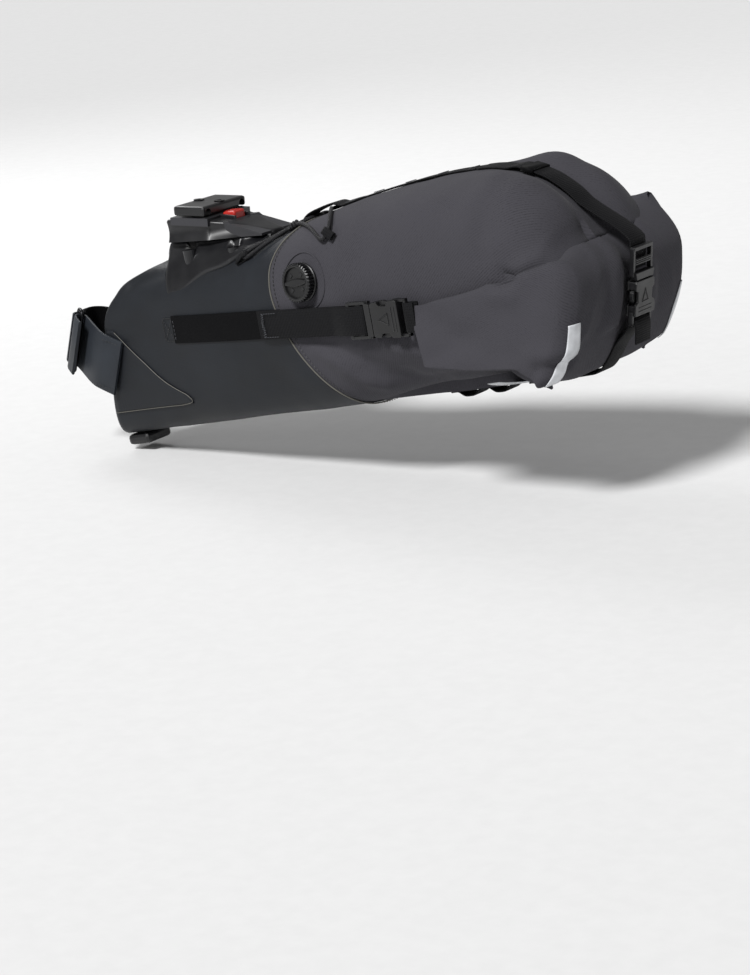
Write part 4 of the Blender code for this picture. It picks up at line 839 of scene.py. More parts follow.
strap = {"width": 0.022, "thick": 0.0014, "narrow": 0.018, "tapeStart": -0.042, "tapeEnd": 0.076,
         "hookStart": 0.054, "tapeThick": 0.0015, "fall": 0.052}
buckle = {"width": 0.028, "thick": 0.0085, "ladder": 0.020, "prong": 0.018, "housing": 0.026, "bar": 0.0070,
          "barHalf": 0.00175}
sideJoint = bag["mouth"] - 0.124 - 0.0045 - buckle["housing"] - buckle["bar"]
layer = buckle["barHalf"] + clear + strap["thick"]  # outer face of the webbing that wraps a bar


def strapHeight(u):
    return -0.0485 - strap["fall"] * (u - strap["tapeStart"])


def strapOut(u):
    return sideAt(u, strapHeight(u))


sideTilt = math.atan2(strapOut(sideJoint + 0.02) - strapOut(sideJoint - 0.02), 0.04)
sideJointOut = strapOut(sideJoint) + buckle["thick"] / 2 + 0.0022


def bucklePlane(length, out):
    return (sideJoint + length * math.cos(sideTilt) - out * math.sin(sideTilt),
            sideJointOut + length * math.sin(sideTilt) + out * math.cos(sideTilt))


def sideFrame(side):
    along = Vector((math.cos(sideTilt), side * math.sin(sideTilt), -strap["fall"])).normalized()
    out = Vector((-math.sin(sideTilt), side * math.cos(sideTilt), 0.0)).normalized()
    frameHere = Matrix((along, out.cross(along), out)).transposed().to_4x4()
    frameHere.translation = (sideJoint, side * sideJointOut, strapHeight(sideJoint))
    return frameHere


def sideStrap(name, path, thick, mat, body, replaced, side, rounds=2, wobble=0.0001):
    # a (u, distance) path laid along the side strap's line
    centres = []
    for p in chaikin(leftHanded(path, thick), rounds):
        centres.append(Vector((p.x, side * p.z, strapHeight(p.x))))
    across = Vector((strap["fall"], 0.0, 1.0))
    mesh = tapeMesh(name, centres, across, strap["width"], thick, bagFrame, wobble)
    return newPiece(name, mesh, mat, body, replaced)


def alongSide(u, across, out, side):
    return Vector((u + across * strap["fall"], side * out, strapHeight(u) + across))


def zigzag(start, finish, out, side, turns, reach):
    # (points, normals) of a zigzag between two places across the side strap
    points = []
    for i in range(turns + 1):
        t = i / turns
        u = start[0] * (1 - t) + finish[0] * t + (reach if i % 2 else -reach)
        v = start[1] * (1 - t) + finish[1] * t
        points.append(alongSide(u, v, out(u), side))
    return points, [Vector((0.0, side, 0.0))] * len(points)


def makeSideStraps(side, tag):
    body = f"side_strap_{tag}"
    path = [(u, strapOut(u) + clear) for u in spread(strap["tapeStart"], strap["tapeEnd"], 26)]
    sideStrap(f"loopTape_{tag}", path, strap["tapeThick"], pile, "bag", (f"loop_tape_{tag}",),
              side,
              rounds=0, wobble=0.0)
    lift = 2 * clear + strap["tapeThick"]
    under = [(u, strapOut(u) + lift) for u in spread(strap["hookStart"], sideJoint - 0.040, 20)]
    turn = [bucklePlane(*p) for p in ((-0.024, -layer), (-0.0092, -layer), (-0.0070, -layer + 0.0006),
                                      (-0.0070, layer - 0.0006), (-0.0092, layer), (-0.026, layer))]
    back = [(u, strapOut(u) + lift + 2 * strap["thick"] + clear)
            for u in spread(sideJoint - 0.042, strap["hookStart"] + 0.004, 16)]
    sideStrap(f"sideWebbing_{tag}", under + turn + back, strap["thick"], webbing, body,
              (f"side_webbing_{tag}",), side)
    end = buckle["housing"] + buckle["bar"] + 0.0036
    slotAt = buckle["housing"] + buckle["bar"] - 0.0025 - clear
    inner = buckle["barHalf"] + clear
    turn = [bucklePlane(*p) for p in ((end + 0.004, -inner), (slotAt, -inner), (slotAt, inner),
                                      (end + 0.004, inner))]
    sideStrap(f"wingTab_{tag}", turn, strap["thick"], webbing, "bag", (f"wing_tab_{tag}",),
              side, rounds=3)

    def outer(u):
        return strapOut(u) + lift + 3 * strap["thick"] + clear * 1.4
    half = strap["width"] / 2 - 0.002
    hook = strap["hookStart"] + 0.004
    runs = [zigzag((hook + 0.0035, -half), (hook + 0.0035, half), outer, side, 22, 0.0018)]
    edge = [alongSide(u, half, outer(u), side) for u in spread(hook + 0.002, hook + 0.020, 12)]
    low = [alongSide(u, -half, outer(u), side) for u in spread(hook + 0.002, hook + 0.020, 12)]
    runs += [(line, [Vector((0.0, side, 0.0))] * 12) for line in (edge, low)]
    stitching(f"hookStitches_{tag}", runs, greyThread, body, bagFrame, length=0.0018, gap=0.0008)
    # box and cross that hold the loop tape's front end, sewn ahead of it through the laminate
    x0, x1, high = -0.0535, -0.0425, half

    def skin(u):
        return strapOut(u) + 0.0006
    corners = [(x0, -high), (x0, high), (x1, high), (x1, -high), (x0, -high), (x1, high), (x0, high),
               (x1, -high)]
    runs = []
    for a, b in zip(corners, corners[1:]):
        line = [alongSide(a[0] * (1 - t) + b[0] * t, a[1] * (1 - t) + b[1] * t,
                          skin(a[0] * (1 - t) + b[0] * t), side)
                for t in spread(0.0, 1.0, 8)]
        runs.append((line, [Vector((0.0, side, 0.0))] * 8))
    stitching(f"boxStitches_{tag}", runs, blackThread, "bag", bagFrame, "twill", length=0.0015, gap=0.0008)
    for name, at in (("Front", strap["tapeStart"] + 0.0016), ("Rear", strap["tapeEnd"] - 0.0016)):
        line = [alongSide(at, v, strapOut(at) + strap["tapeThick"] + 0.0004, side)
                for v in spread(-half, half, 8)]
        stitching(f"tapeStitches{name}_{tag}", [(line, [Vector((0.0, side, 0.0))] * 8)], greyThread, "bag",
                  bagFrame)


for side, tag in sides:
    makeSideStraps(side, tag)
print("side straps made")


# side-release buckles: x along the strap from the joint, z out of the bag

def mirrorPlate(bm, halfOutline, low, high):
    # a plate whose outline is given on one side of the middle line, as (x, y) going rearwards
    plate(bm, [(x, -y) for x, y in halfOutline] + [(x, y) for x, y in reversed(halfOutline)], low, high)


def maleHalf(name, body, frameMatrix, replaced):
    wide = buckle["width"] / 2
    bar = buckle["barHalf"]
    bm = bmesh.new()
    for y in (-1, 1):
        block(bm, (-0.0236, min(y * wide, y * (wide - 0.0026)), -bar),
              (-0.0030, max(y * wide, y * (wide - 0.0026)), bar))
    block(bm, (-0.0242, -wide + 0.0006, -bar * 0.9), (-0.0214, wide - 0.0006, bar * 1.15))
    block(bm, (-0.0156, -wide + 0.001, -bar * 0.8), (-0.0108, wide - 0.001, bar * 0.9))
    for i in range(3):
        block(bm, (-0.0151 + 0.0014 * i, -wide + 0.003, bar * 0.6),
              (-0.0144 + 0.0014 * i, wide - 0.003, bar * 1.25))
    mirrorPlate(bm, [(-0.0058, wide - 0.0004), (-0.0040, wide - 0.0012), (-0.0004, wide - 0.0022)],
                -bar * 0.9, 0.0038)
    block(bm, (-0.0030, -0.0013, -0.0014), (0.0142, 0.0013, 0.0014))
    arm = [(-0.002, 0.0066), (0.0110, 0.0074), (0.0178, 0.0082), (0.0176, 0.0104), (0.0150, 0.0128),
           (0.0115, 0.0139),
           (0.0088, 0.0134), (0.0062, 0.0104), (-0.002, 0.0098)]
    plate(bm, arm, -0.0015, 0.0015)
    plate(bm, [(x, -y) for x, y in reversed(arm)], -0.0015, 0.0015)
    obj = newPiece(name, fromBmesh(bm, name, bagFrame @ frameMatrix), acetal, body,
                   replaced, False)
    bevelled(obj, 0.00045, 2, 30.0)


def femaleHalf(name, body, frameMatrix, replaced):
    wide = buckle["width"] / 2
    thick = buckle["thick"] / 2
    end = buckle["housing"]
    bm = bmesh.new()
    outline = [(0.0004, 0.0118), (0.0020, 0.0130), (0.0070, 0.0134), (0.0084, 0.0104), (0.0156, 0.0100),
               (0.0176, 0.0136), (0.0215, wide), (0.0245, wide), (end, wide - 0.0012)]
    mirrorPlate(bm, outline, 0.0022, thick)
    mirrorPlate(bm, outline, -thick, -0.0022)
    mirrorPlate(bm, [(0.0185, 0.0132), (end, wide - 0.0016)], -0.0030, 0.0030)
    for y in (-1, 1):
        block(bm, (0.0010, min(y * 0.0106, y * 0.0128), -0.0030),
              (0.0066, max(y * 0.0106, y * 0.0128), 0.0030))
    tail = end + buckle["bar"]
    bar = buckle["barHalf"]
    for y in (-1, 1):
        block(bm, (end - 0.003, min(y * 0.0116, y * wide), -bar), (tail, max(y * 0.0116, y * wide), bar))
    block(bm, (tail - 0.0024, -wide, -bar), (tail, wide, bar))
    # raised frame round a sunk triangle, and three ribs for the thumb
    triangle = [(0.0062, 0.0), (0.0166, -0.0052), (0.0166, 0.0052)]
    inner = [(0.0088, 0.0), (0.0155, -0.0034), (0.0155, 0.0034)]
    lift = thick + 0.0005
    for i in range(3):
        j = (i + 1) % 3
        plate(bm, [triangle[i], triangle[j], inner[j], inner[i]], thick - 0.001, lift)
    block(bm, (0.0196, -0.0095, thick - 0.001), (0.0206, 0.0095, thick + 0.0004))
    block(bm, (0.0224, -0.0095, thick - 0.001), (0.0234, 0.0095, thick + 0.0004))
    obj = newPiece(name, fromBmesh(bm, name, bagFrame @ frameMatrix), acetal, body,
                   replaced, False)
    bevelled(obj, 0.0005, 2, 30.0)


rollFace = mouthAt(-0.075) + 0.0012 + 0.016
rearLean = math.radians(15.0)
rearJoint = Vector((rollFace + mouthAt(-0.068) - mouthAt(-0.075) + buckle["thick"] / 2 + 0.0022, 0.0,
                    -0.068))
rearDown = Vector((-math.sin(rearLean), 0.0, -math.cos(rearLean)))
rearOut = Vector((math.cos(rearLean), 0.0, -math.sin(rearLean)))


def rearPlane(length, out):
    point = rearJoint + rearDown * length + rearOut * out
    return (point.x, point.z)


rearFrame = Matrix((rearDown, rearOut.cross(rearDown), rearOut)).transposed().to_4x4()
rearFrame.translation = rearJoint
for side, tag in sides:
    maleHalf(f"sideBuckleMale_{tag}", f"side_strap_{tag}", sideFrame(side), (f"side_buckle_male_{tag}",))
    femaleHalf(f"sideBuckleFemale_{tag}", "bag", sideFrame(side), (f"side_buckle_female_{tag}",))
maleHalf("rearBuckleMale", "rear_strap_end", rearFrame, ("rear_buckle_male",))
femaleHalf("rearBuckleFemale", "bag", rearFrame, ("rear_buckle_female",))
print("buckles made")


def makeTopStraps():
    thick = strap["thick"]
    start, finish = bag["flatEnd"] + 0.022, mouth - 0.093

    def lift(u):
        return clear + 0.0050 * math.exp(-((u - 0.0975) / 0.0175) ** 6)
    path = [(u, topAt(u) + lift(u)) for u in spread(start, 0.120, 26)]
    path += [(u, topAt(u) + clear) for u in spread(0.124, finish, 26)]
    strapInPlane("topWebbing", path, strap["narrow"], thick, webbing, "bag", ("top_webbing",),
                 rounds=1)
    path = [(u, topAt(u) + 0.0005) for u in spread(finish + 0.002, mouth - 0.066, 6)]
    path += [(u, topAt(u) + 0.0032) for u in spread(mouth - 0.058, mouth - 0.012, 12)]
    path += [rearPlane(-0.031, -layer - 0.0012), rearPlane(-0.024, -layer), rearPlane(-0.007, -layer)]
    strapInPlane("rearStrapUpper", path, strap["width"], thick, webbing, "bag",
                 ("rear_strap_upper",))
    slotAt = buckle["housing"] + buckle["bar"] - 0.0025 - clear - thick
    path = [rearPlane(slotAt + 0.018, layer), rearPlane(slotAt, layer), rearPlane(slotAt, -layer),
            rearPlane(slotAt + 0.006, -layer)]
    path += [(rollFace + mouthAt(w) - mouthAt(-0.075) + clear, w) for w in (-0.112, -0.119)]
    base = rollFace + mouthAt(-0.126) - mouthAt(-0.075)
    path += [(base - 0.0010, -0.1262), (base - 0.0070, -0.1302), (base - 0.0160, -0.1306),
             (mouth - 0.066, -bag["depth"] - 0.0012),
             (mouth - 0.085, -bag["depth"] - 0.0006)]
    strapInPlane("rearStrapLower", path, strap["width"], thick, webbing, "bag",
                 ("rear_strap_lower",))
    path = []
    for u in spread(mouth - 0.095, 0.180, 60):
        hump = sum(math.exp(-((u - at) / 0.0075) ** 4) for at in (0.196, 0.224, 0.252))
        path.append((u, -bag["depth"] - clear - 0.0042 * min(hump, 1.0)))
    strapInPlane("underWebbing", path, strap["narrow"], thick, webbing, "bag",
                 ("under_webbing",), rounds=0)
    # dense bar tacks across the webbing
    runs = []
    half = strap["narrow"] / 2 - 0.0015
    for at in (0.1225, 0.150, 0.180, 0.210, 0.238):
        for shift in (-0.0006, 0.0, 0.0006):
            height = topAt(at) + clear + thick + 0.0003
            runs.append(([Vector((at + shift, y, height)) for y in spread(-half, half, 6)],
                         [Vector((0.0, 0.0, 1.0))] * 6))
    stitching("barTacks", runs, greyThread, "bag", bagFrame, length=0.0012, gap=0.0003)


def keeperLoop():
    u = mouth - 0.052 + 0.004
    slope = math.atan2(topAt(u + 0.004) - topAt(u - 0.004), 0.008)
    here = Matrix.Translation((u, 0.0, topAt(u) + 0.0032)) @ Matrix.Rotation(-slope, 4, "Y")
    wide, low, high = strap["width"] / 2 + 0.0014, -0.0011, strap["thick"] + 0.0012
    corner = 0.0010
    ring = []
    for x, z, start in ((wide, high, 0), (-wide, high, 90), (-wide, low, 180), (wide, low, 270)):
        for turn in (0, 45, 90):
            a = math.radians(start + turn)
            cx = x - math.copysign(corner, x)
            cz = z - corner if z > 0 else z + corner
            ring.append((cx + corner * math.cos(a), cz + corner * math.sin(a)))
    bm = bmesh.new()
    rows = [[bm.verts.new((x, y, z)) for y, z in ring] for x in (-0.005, 0.005)]
    for i in range(len(ring)):
        j = (i + 1) % len(ring)
        bm.faces.new((rows[0][i], rows[0][j], rows[1][j], rows[1][i]))
    obj = newPiece("strapKeeper", fromBmesh(bm, "strapKeeper", bagFrame @ here), webbing, "bag",
                   ("rear_strap_keeper",))
    solidify(obj, 0.0007)


makeTopStraps()
keeperLoop()
print("top and rear straps made")


# the rolled end: one skin round the rear with a wing folded forward on each side, over a gusset

roll = {"thick": 0.016, "wing": 0.009, "corner": 0.010, "reach": 0.124, "points": 60, "steps": 7,
        "curl": 0.036, "flare": 0.0065}
wingY = bag["rear"] / 2 + 0.0012 + roll["wing"] / 2
rearU = mouthAt(-0.075) + 0.0012 + roll["thick"] / 2


def evenly(points, count):
    # the same closed ring with evenly spaced points
    travel = [0.0]
    closed = points + [points[0]]
    for p, q in zip(closed, closed[1:]):
        travel.append(travel[-1] + (q - p).length)
    out = []
    for k in range(count):
        where = travel[-1] * k / count
        i = bisect.bisect_right(travel, where) - 1
        out.append(closed[i].lerp(closed[i + 1],
                                  (where - travel[i]) / max(travel[i + 1] - travel[i], 1e-9)))
    return out


def rollStation(u, y, heading, thick, low, high, lean, slant=0.0):
    fine = []
    for i in range(240):
        a = -math.pi / 2 + 2 * math.pi * i / 240
        edge = 0.25 if a < 0 or a > math.pi else 0.55  # the low edge is crisp, the fold above is round
        across = math.copysign(abs(math.cos(a)) ** edge, math.cos(a)) * thick / 2
        w = (low + high) / 2 + math.copysign(abs(math.sin(a)) ** (edge * 0.8),
                                             math.sin(a)) * (high - low) / 2
        fine.append(Vector((across, w, 0.0)))
    ring = []
    for across, w, _ in evenly(fine, roll["points"]):
        slope = lean * (mouthAt(w) - mouthAt(-0.075)) + slant * (high - w) / (high - low)
        # the low edge stands off the bag
        flare = roll["flare"] * ((high - w) / (high - low)) ** 2 * math.cos(heading)
        curl = roll["curl"] * max(0.0, (w + 0.060) / 0.045) ** 2 * math.sin(heading / 2 + 0.2)
        ring.append(Vector((u + slope - curl + across * math.sin(heading),
                            y + flare + across * math.cos(heading), w)))
    return ring


def rollHalf(tops):
    # tops: heights of the fold at the tip, the wing, the wing's rear, the corner and two places on the rear
    tip = mouth - roll["reach"]
    wing = roll["wing"]
    stations = [(tip - 0.0025, wingY - 0.0006, 0.0, wing * 0.40, -0.0975, tops[0], 0.0, 0.008),
                (tip + 0.002, wingY, 0.0, wing * 0.62, -0.0995, tops[0] + 0.0008, 0.0, 0.0075),
                (tip + 0.045, wingY + 0.0004, 0.0, wing * 0.95, -0.1055, tops[1], 0.0, 0.005),
                (tip + 0.082, wingY + 0.0006, 0.0, wing, -0.1085, tops[2], 0.3, 0.002),
                (tip + 0.099, wingY + 0.0002, 0.0, wing, -0.1120, tops[3], 0.7, 0.0)]
    for turn in (0.0, 30.0, 60.0, 90.0):
        a = math.radians(turn)
        thick = wing + (roll["thick"] - wing) * turn / 90.0
        low = -0.124 if turn else -0.118
        stations.append((rearU - roll["corner"] + roll["corner"] * math.sin(a),
                         wingY - roll["corner"] + roll["corner"] * math.cos(a), a, thick, low, tops[4],
                         1.0))
    for y, high in ((0.045, tops[5]), (0.020, tops[6])):
        stations.append((rearU, y, math.pi / 2, roll["thick"], -0.1275, high, 1.0))
    return [rollStation(*s) for s in stations]


def ringsThrough(rings, steps):
    out = []
    for i in range(len(rings) - 1):
        a = rings[max(i - 1, 0)]
        d = rings[min(i + 2, len(rings) - 1)]
        for j in range(steps):
            t = j / steps
            out.append([0.5 * ((2 * q) + (r - p) * t + (2 * p - 5 * q + 4 * r - s) * t ** 2
                               + (3 * q - p - 3 * r + s) * t ** 3)
                        for p, q, r, s in zip(a, rings[i], rings[i + 1], d)])
    out.append(rings[-1])
    return out


wingFolds = [
    (-1, (0.288, -0.048), (0.302, -0.046), 0.0034, -0.0036),
    (-1, (0.284, -0.054), (0.298, -0.057), 0.0070, 0.0020),
    (-1, (0.312, -0.110), (0.340, -0.113), 0.0045, -0.0030),
    (-1, (0.306, -0.102), (0.346, -0.103), 0.0070, 0.0020),
    (-1, (0.336, -0.048), (0.330, -0.070), 0.0100, 0.0010),
    (0, (0.222, -0.058), (0.246, -0.078), 0.0075, -0.0020),
    (0, (0.220, -0.094), (0.256, -0.082), 0.0080, -0.0018),
    (1, (0.290, -0.060), (0.310, -0.090), 0.0120, -0.0014),
    (1, (0.262, -0.060), (0.280, -0.100), 0.0120, 0.0010),
]


def rollPush(point):
    u, y, w = point
    push = softness(point * 1.1 + Vector((0.4, 0.0, 0.0)), 0.0009, 0.0005)
    side = -1 if y < 0 else 1
    if abs(y) > 0.066:
        push += creases(Vector((u, w)), [line for which, *line in wingFolds if which in (0, side)])
    if u > rearU - 0.002:
        # the strap pulls the middle in, and creases fan down from its two edges
        push -= 0.0020 * math.exp(-(y / 0.013) ** 4)
        push += 0.0030 * math.exp(-((abs(y) - 0.027) / 0.011) ** 2) * min(1.0, max(0.0, (-0.030 - w)
                                                                                   / 0.02))
        for start, slope, high in ((0.018, 0.10, 0.0014), (0.034, 0.28, -0.0013), (0.050, 0.40, 0.0012)):
            line = start + slope * (-w - 0.060)
            push += high * math.exp(-((abs(y) - line) / 0.0045) ** 2)
    return push


def pushedOut(rows, pushAt):
    # rows are rings about a thin body: outwards is away from each ring's own middle
    out = []
    for i, row in enumerate(rows):
        middle = sum(row, Vector()) / len(row)
        line = []
        for j, point in enumerate(row):
            normal = outward(rows, i, j)
            if normal.dot(point - middle) < 0:
                normal = -normal
            line.append(point + normal * pushAt(point))
        out.append(line)
    return out


def closeEnds(mesh, count):
    bm = bmesh.new()
    bm.from_mesh(mesh)
    bm.verts.ensure_lookup_table()
    total = len(bm.verts)
    for start in (0, total - count):
        ring = [bm.verts[start + k] for k in range(count)]
        for k in range(count // 2 - 1):
            corners = (ring[k], ring[k + 1], ring[count - k - 2], ring[count - k - 1])
            bm.faces.new(corners)
    bmesh.ops.recalc_face_normals(bm, faces=bm.faces)
    bm.to_mesh(mesh)
    bm.free()


def makeRoll():
    left = rollHalf((-0.0540, -0.0500, -0.0445, -0.0420, -0.0390, -0.0330, -0.0330))
    left = [[Vector((p.x, -p.y, p.z)) for p in ring] for ring in left]
    right = rollHalf((-0.0560, -0.0480, -0.0330, -0.0240, -0.0160, -0.0200, -0.0300))
    rings = ringsThrough(left + list(reversed(right)), roll["steps"])
    rings = pushedOut(rings, rollPush)
    mesh = closedSkin("rollClosure", rings, bagFrame)
    closeEnds(mesh, roll["points"])
    newPiece("rollClosure", mesh, twill, "bag", ("roll_closure",))
    return rings


def makeGusset(side, tag):
    # the lower layer that shows below the wing, with a curved front edge
    edge = curveThrough([(-0.1285, 0.306), (-0.127, 0.303), (-0.121, 0.2915), (-0.1075, 0.2780),
                         (-0.090, 0.272)])
    rows = []
    for t in spread(0.0, 1.0, 20):
        row = []
        for w in spread(-0.1285, -0.088, 22):
            ahead = edge(w)
            back = 0.338 + mouthAt(w) - mouthAt(-0.075)
            u = ahead * (1 - t) + back * t
            away = max(sideAt(u, max(w, -0.1275)) if u < 0.33 else 0.0,
                       wingY - 0.0062 - 0.010 * ((-w - 0.10) / 0.03) ** 2 * (w < -0.10))
            away = min(away, wingY) + 0.0012 + 0.0016 * math.sin(math.pi * min(t * 1.4, 1.0))
            away += 0.0012 * math.exp(-((w + 0.1165 + 0.02 * (t - 0.5)) / 0.003) ** 2) * t
            row.append(Vector((u, side * away, w)))
        rows.append(row)
    mesh = closedSkin(f"gusset_{tag}", rows, bagFrame, False)
    obj = newPiece(f"gusset_{tag}", mesh, twill, "bag")
    solidify(obj, 0.0014, 0.0)


rollRings = makeRoll()
for side, tag in sides:
    makeGusset(side, tag)
print("rolled end made")


# elastic cord laced over the top, with its tabs

cord = {"radius": 0.0015, "knot": (0.082, 0.0185), "frontTab": (0.0445, 0.036), "rearTab": (0.1345, 0.054),
        "runHalf": 0.0034}
cordLift = cord["radius"] + 0.0009
knot, frontTab, rearTab = Vector(cord["knot"]), Vector(cord["frontTab"]), Vector(cord["rearTab"])


def surfaceFrame(u, y):
    step = 0.002
    point = Vector((u, y, heightAt(u, y)))
    du = Vector((2 * step, 0.0, heightAt(u + step, y) - heightAt(u - step, y)))
    dy = Vector((0.0, 2 * step, heightAt(u, y + step) - heightAt(u, y - step)))
    return point, du.cross(dy).normalized()


def makeCord():
    run = (frontTab - knot).normalized()
    wide = Vector((-run.y, run.x))
    if wide.y > 0:
        wide = -wide
    gap = cord["runHalf"]
    points = [Vector((0.0900, 0.0)), Vector((0.0880, 0.0080)), knot + wide * gap]
    points += [knot.lerp(frontTab, t) + wide * gap for t in (0.33, 0.66, 0.93)]
    for turn in (60, 90, 120):
        a = math.radians(turn)
        points.append(frontTab + wide * gap * math.cos(a) + run * gap * math.sin(a))
    points += [knot.lerp(frontTab, t) - wide * gap for t in (0.93, 0.66, 0.33)]
    points += [knot - wide * gap, knot.lerp(rearTab, 0.5) + Vector((-0.001, 0.0035)),
               rearTab + Vector((-0.0070, 0.0008)), rearTab + Vector((-0.0005, 0.0012)),
               rearTab + Vector((0.0005, -0.0055)), Vector((0.1220, 0.0260)), Vector((0.1090, 0.0080)),
               Vector((0.1045, 0.0))]
    guide = points + [Vector((p.x, -p.y)) for p in reversed(points[1:-1])]
    flat = smoothPath([Vector((p.x, p.y, 0.0)) for p in guide], 0.0016, True)
    path = []
    for p in flat:
        point, out = surfaceFrame(p.x, p.y)
        path.append(point + out * cordLift)
    newPiece("elasticCord", tubeMesh("elasticCord", path, cord["radius"], 14, True, bagFrame), cordSheath,
             "bag",
             ("elastic_cord",))
    # the wraps that bind the two runs beside the middle
    for side, tag in sides:
        at = knot.lerp(frontTab, 0.05)
        point, out = surfaceFrame(at.x, side * at.y)
        along = Vector((run.x, side * run.y, 0.0))
        along = (along - out * along.dot(out)).normalized()
        across = out.cross(along)
        turns = []
        for i in range(61):
            a = 2 * math.pi * i / 20
            turns.append(point + out * (cordLift + math.sin(a) * (cord["radius"] + 0.0010))
                         + across * math.cos(a) * (gap + cord["radius"] + 0.0009)
                         + along * (0.0024 * (i / 20 - 1.5)))
        newPiece(f"cordWrap_{tag}", tubeMesh(f"cordWrap_{tag}", turns, 0.0011, 8, False, bagFrame),
                 cordSheath,
                 "bag")


def makeCordTab(name, at, direction, side, replaced):
    # a folded tape with its eye round the cord and its root lying on the cloth
    point, out = surfaceFrame(at.x, side * at.y)
    along = Vector((direction.x, side * direction.y, 0.0))
    along = (along - out * along.dot(out)).normalized()
    base = [(0.0085, 0.0007), (0.0040, 0.0008), (0.0012, 0.0006), (-0.0026, 0.0012), (-0.0036, 0.0026),
            (-0.0026, 0.0048), (0.0008, 0.0052), (0.0040, 0.0034), (0.0085, 0.0022)]
    centres = [point + along * x + out * z for x, z in base]
    mesh = tapeMesh(name, chaikin(centres, 2), along.cross(out), 0.0062, 0.0009, bagFrame)
    newPiece(name, mesh, webbing, "bag", replaced)


makeCord()
run = (frontTab - knot).normalized()
for side, tag in sides:
    makeCordTab(f"cordTabFront_{tag}", frontTab + run * cord["runHalf"], run, side,
                (f"cord_tab_front_{tag}",))
    makeCordTab(f"cordTabRear_{tag}", rearTab, Vector((0.6, 0.8)), side, (f"cord_tab_rear_{tag}",))
print("cord made")


# air valve: flange, ribbed twist ring, dished face with a grip bar, and the weld round it

valve = {"u": 0.107, "w": -0.026, "radius": 0.0145, "flange": 0.0025, "cap": 0.0065}


def valveFrame():
    u, w, step = valve["u"], valve["w"], 0.004
    du = Vector((2 * step, -sideAt(u + step, w) + sideAt(u - step, w), 0.0))
    dw = Vector((0.0, -sideAt(u, w + step) + sideAt(u, w - step), 2 * step))
    out = du.cross(dw).normalized()
    if out.y > 0:
        out = -out
    return Matrix.Translation((u, -sideAt(u, w), w)) @ out.to_track_quat("Z", "Y").to_matrix().to_4x4()


def makeValve():
    here = bagFrame @ valveFrame()
    bm = bmesh.new()
    r, low = valve["radius"], 0.0004
    lathe(bm, [(r - 0.0004, low), (r + 0.0002, low + 0.0006), (r + 0.0002, low + 0.0018),
               (r - 0.0006, low + 0.0025),
               (r - 0.004, low + 0.0026)], 64)
    newPiece("valveFlange", fromBmesh(bm, "valveFlange", here), acetal, "bag",
             ("valve_body",))
    base = low + valve["flange"] + clear
    top = base + valve["cap"]
    bm = bmesh.new()
    facets, rings = 144, []
    profile = [(r - 0.0010, base, 0), (r - 0.0002, base + 0.0006, 1), (r - 0.0002, top - 0.0012, 1),
               (r - 0.0012, top - 0.0002, 0), (r - 0.0018, top, 0), (r - 0.0028, top - 0.0003, 0),
               (r - 0.0034, top - 0.0020, 0), (0.0002, top - 0.0024, 0)]
    for radius, z, ribbed in profile:
        ring = []
        for k in range(facets):
            rib = 0.00045 * ribbed * (1 if k % 4 < 2 else -1)
            a = 2 * math.pi * k / facets
            ring.append(bm.verts.new(((radius + rib) * math.cos(a), (radius + rib) * math.sin(a), z)))
        rings.append(ring)
    for a, b in zip(rings, rings[1:]):
        for k in range(facets):
            n = (k + 1) % facets
            bm.faces.new((a[k], a[n], b[n], b[k]))
    bm.faces.new(list(reversed(rings[0])))
    bm.faces.new(rings[-1])
    newPiece("valveRing", fromBmesh(bm, "valveRing", here), acetal, "cap", ("valve_cap",))
    bm = bmesh.new()
    grip = [(-0.0112, -0.0012), (-0.0040, -0.0026), (0.0, -0.0030), (0.0040, -0.0026), (0.0112, -0.0012),
            (0.0112, 0.0012), (0.0040, 0.0026), (0.0, 0.0030), (-0.0040, 0.0026), (-0.0112, 0.0012)]
    plate(bm, grip, top - 0.0030, top - 0.0002)
    obj = newPiece("valveGrip", fromBmesh(bm, "valveGrip", here), acetal, "cap", (), False)
    bevelled(obj, 0.0006, 3)
    bm = bmesh.new()
    for turn in (45, 135, 225, 315):
        a = math.radians(turn)
        spot = Matrix.Rotation(a, 4, "Z")
        verts = block(bm, (0.0062, -0.0014, top - 0.0026), (0.0092, 0.0014, top - 0.0016))
        bmesh.ops.transform(bm, matrix=spot, verts=verts)
    obj = newPiece("valveLugs", fromBmesh(bm, "valveLugs", here), acetal, "cap", (), False)
    bevelled(obj, 0.0004, 2)
    # the welded disc of film under the flange
    centre, out = valveFrame().translation, valveFrame().to_3x3()
    ringPath = []
    for k in range(72):
        a = 2 * math.pi * k / 72
        p = out @ Vector((0.0215 * math.cos(a), 0.0215 * math.sin(a), 0.0)) + centre
        ringPath.append(Vector((p.x, -sideAt(p.x, min(p.z, 0.002)) - 0.0001, p.z)))
    newPiece("valveWeld", tubeMesh("valveWeld", ringPath, 0.0006, 8, True, bagFrame), twill, "bag")


makeValve()
print("valve made")


# thin strips and patches on the cloth

def sheetPiece(name, rows, thick, mat, replaced):
    mesh = closedSkin(name, rows, bagFrame, False)
    obj = newPiece(name, mesh, mat, "bag", replaced)
    solidify(obj, thick, 0.0)


def rollAt(rings, station, w):
    # the outer face of the roll between its stations, at a height
    i = min(int(station * roll["steps"]), len(rings) - 2)
    t = station * roll["steps"] - i
    found = []
    for ring in rings[i:i + 2]:
        outer = ring[1:roll["points"] // 2]
        j = min(range(len(outer) - 1), key=lambda k: abs(outer[k].z + outer[k + 1].z - 2 * w))
        p, q = outer[j], outer[j + 1]
        found.append(p.lerp(q, min(max((w - p.z) / (q.z - p.z), 0.0), 1.0)))
    return found[0].lerp(found[1], t)


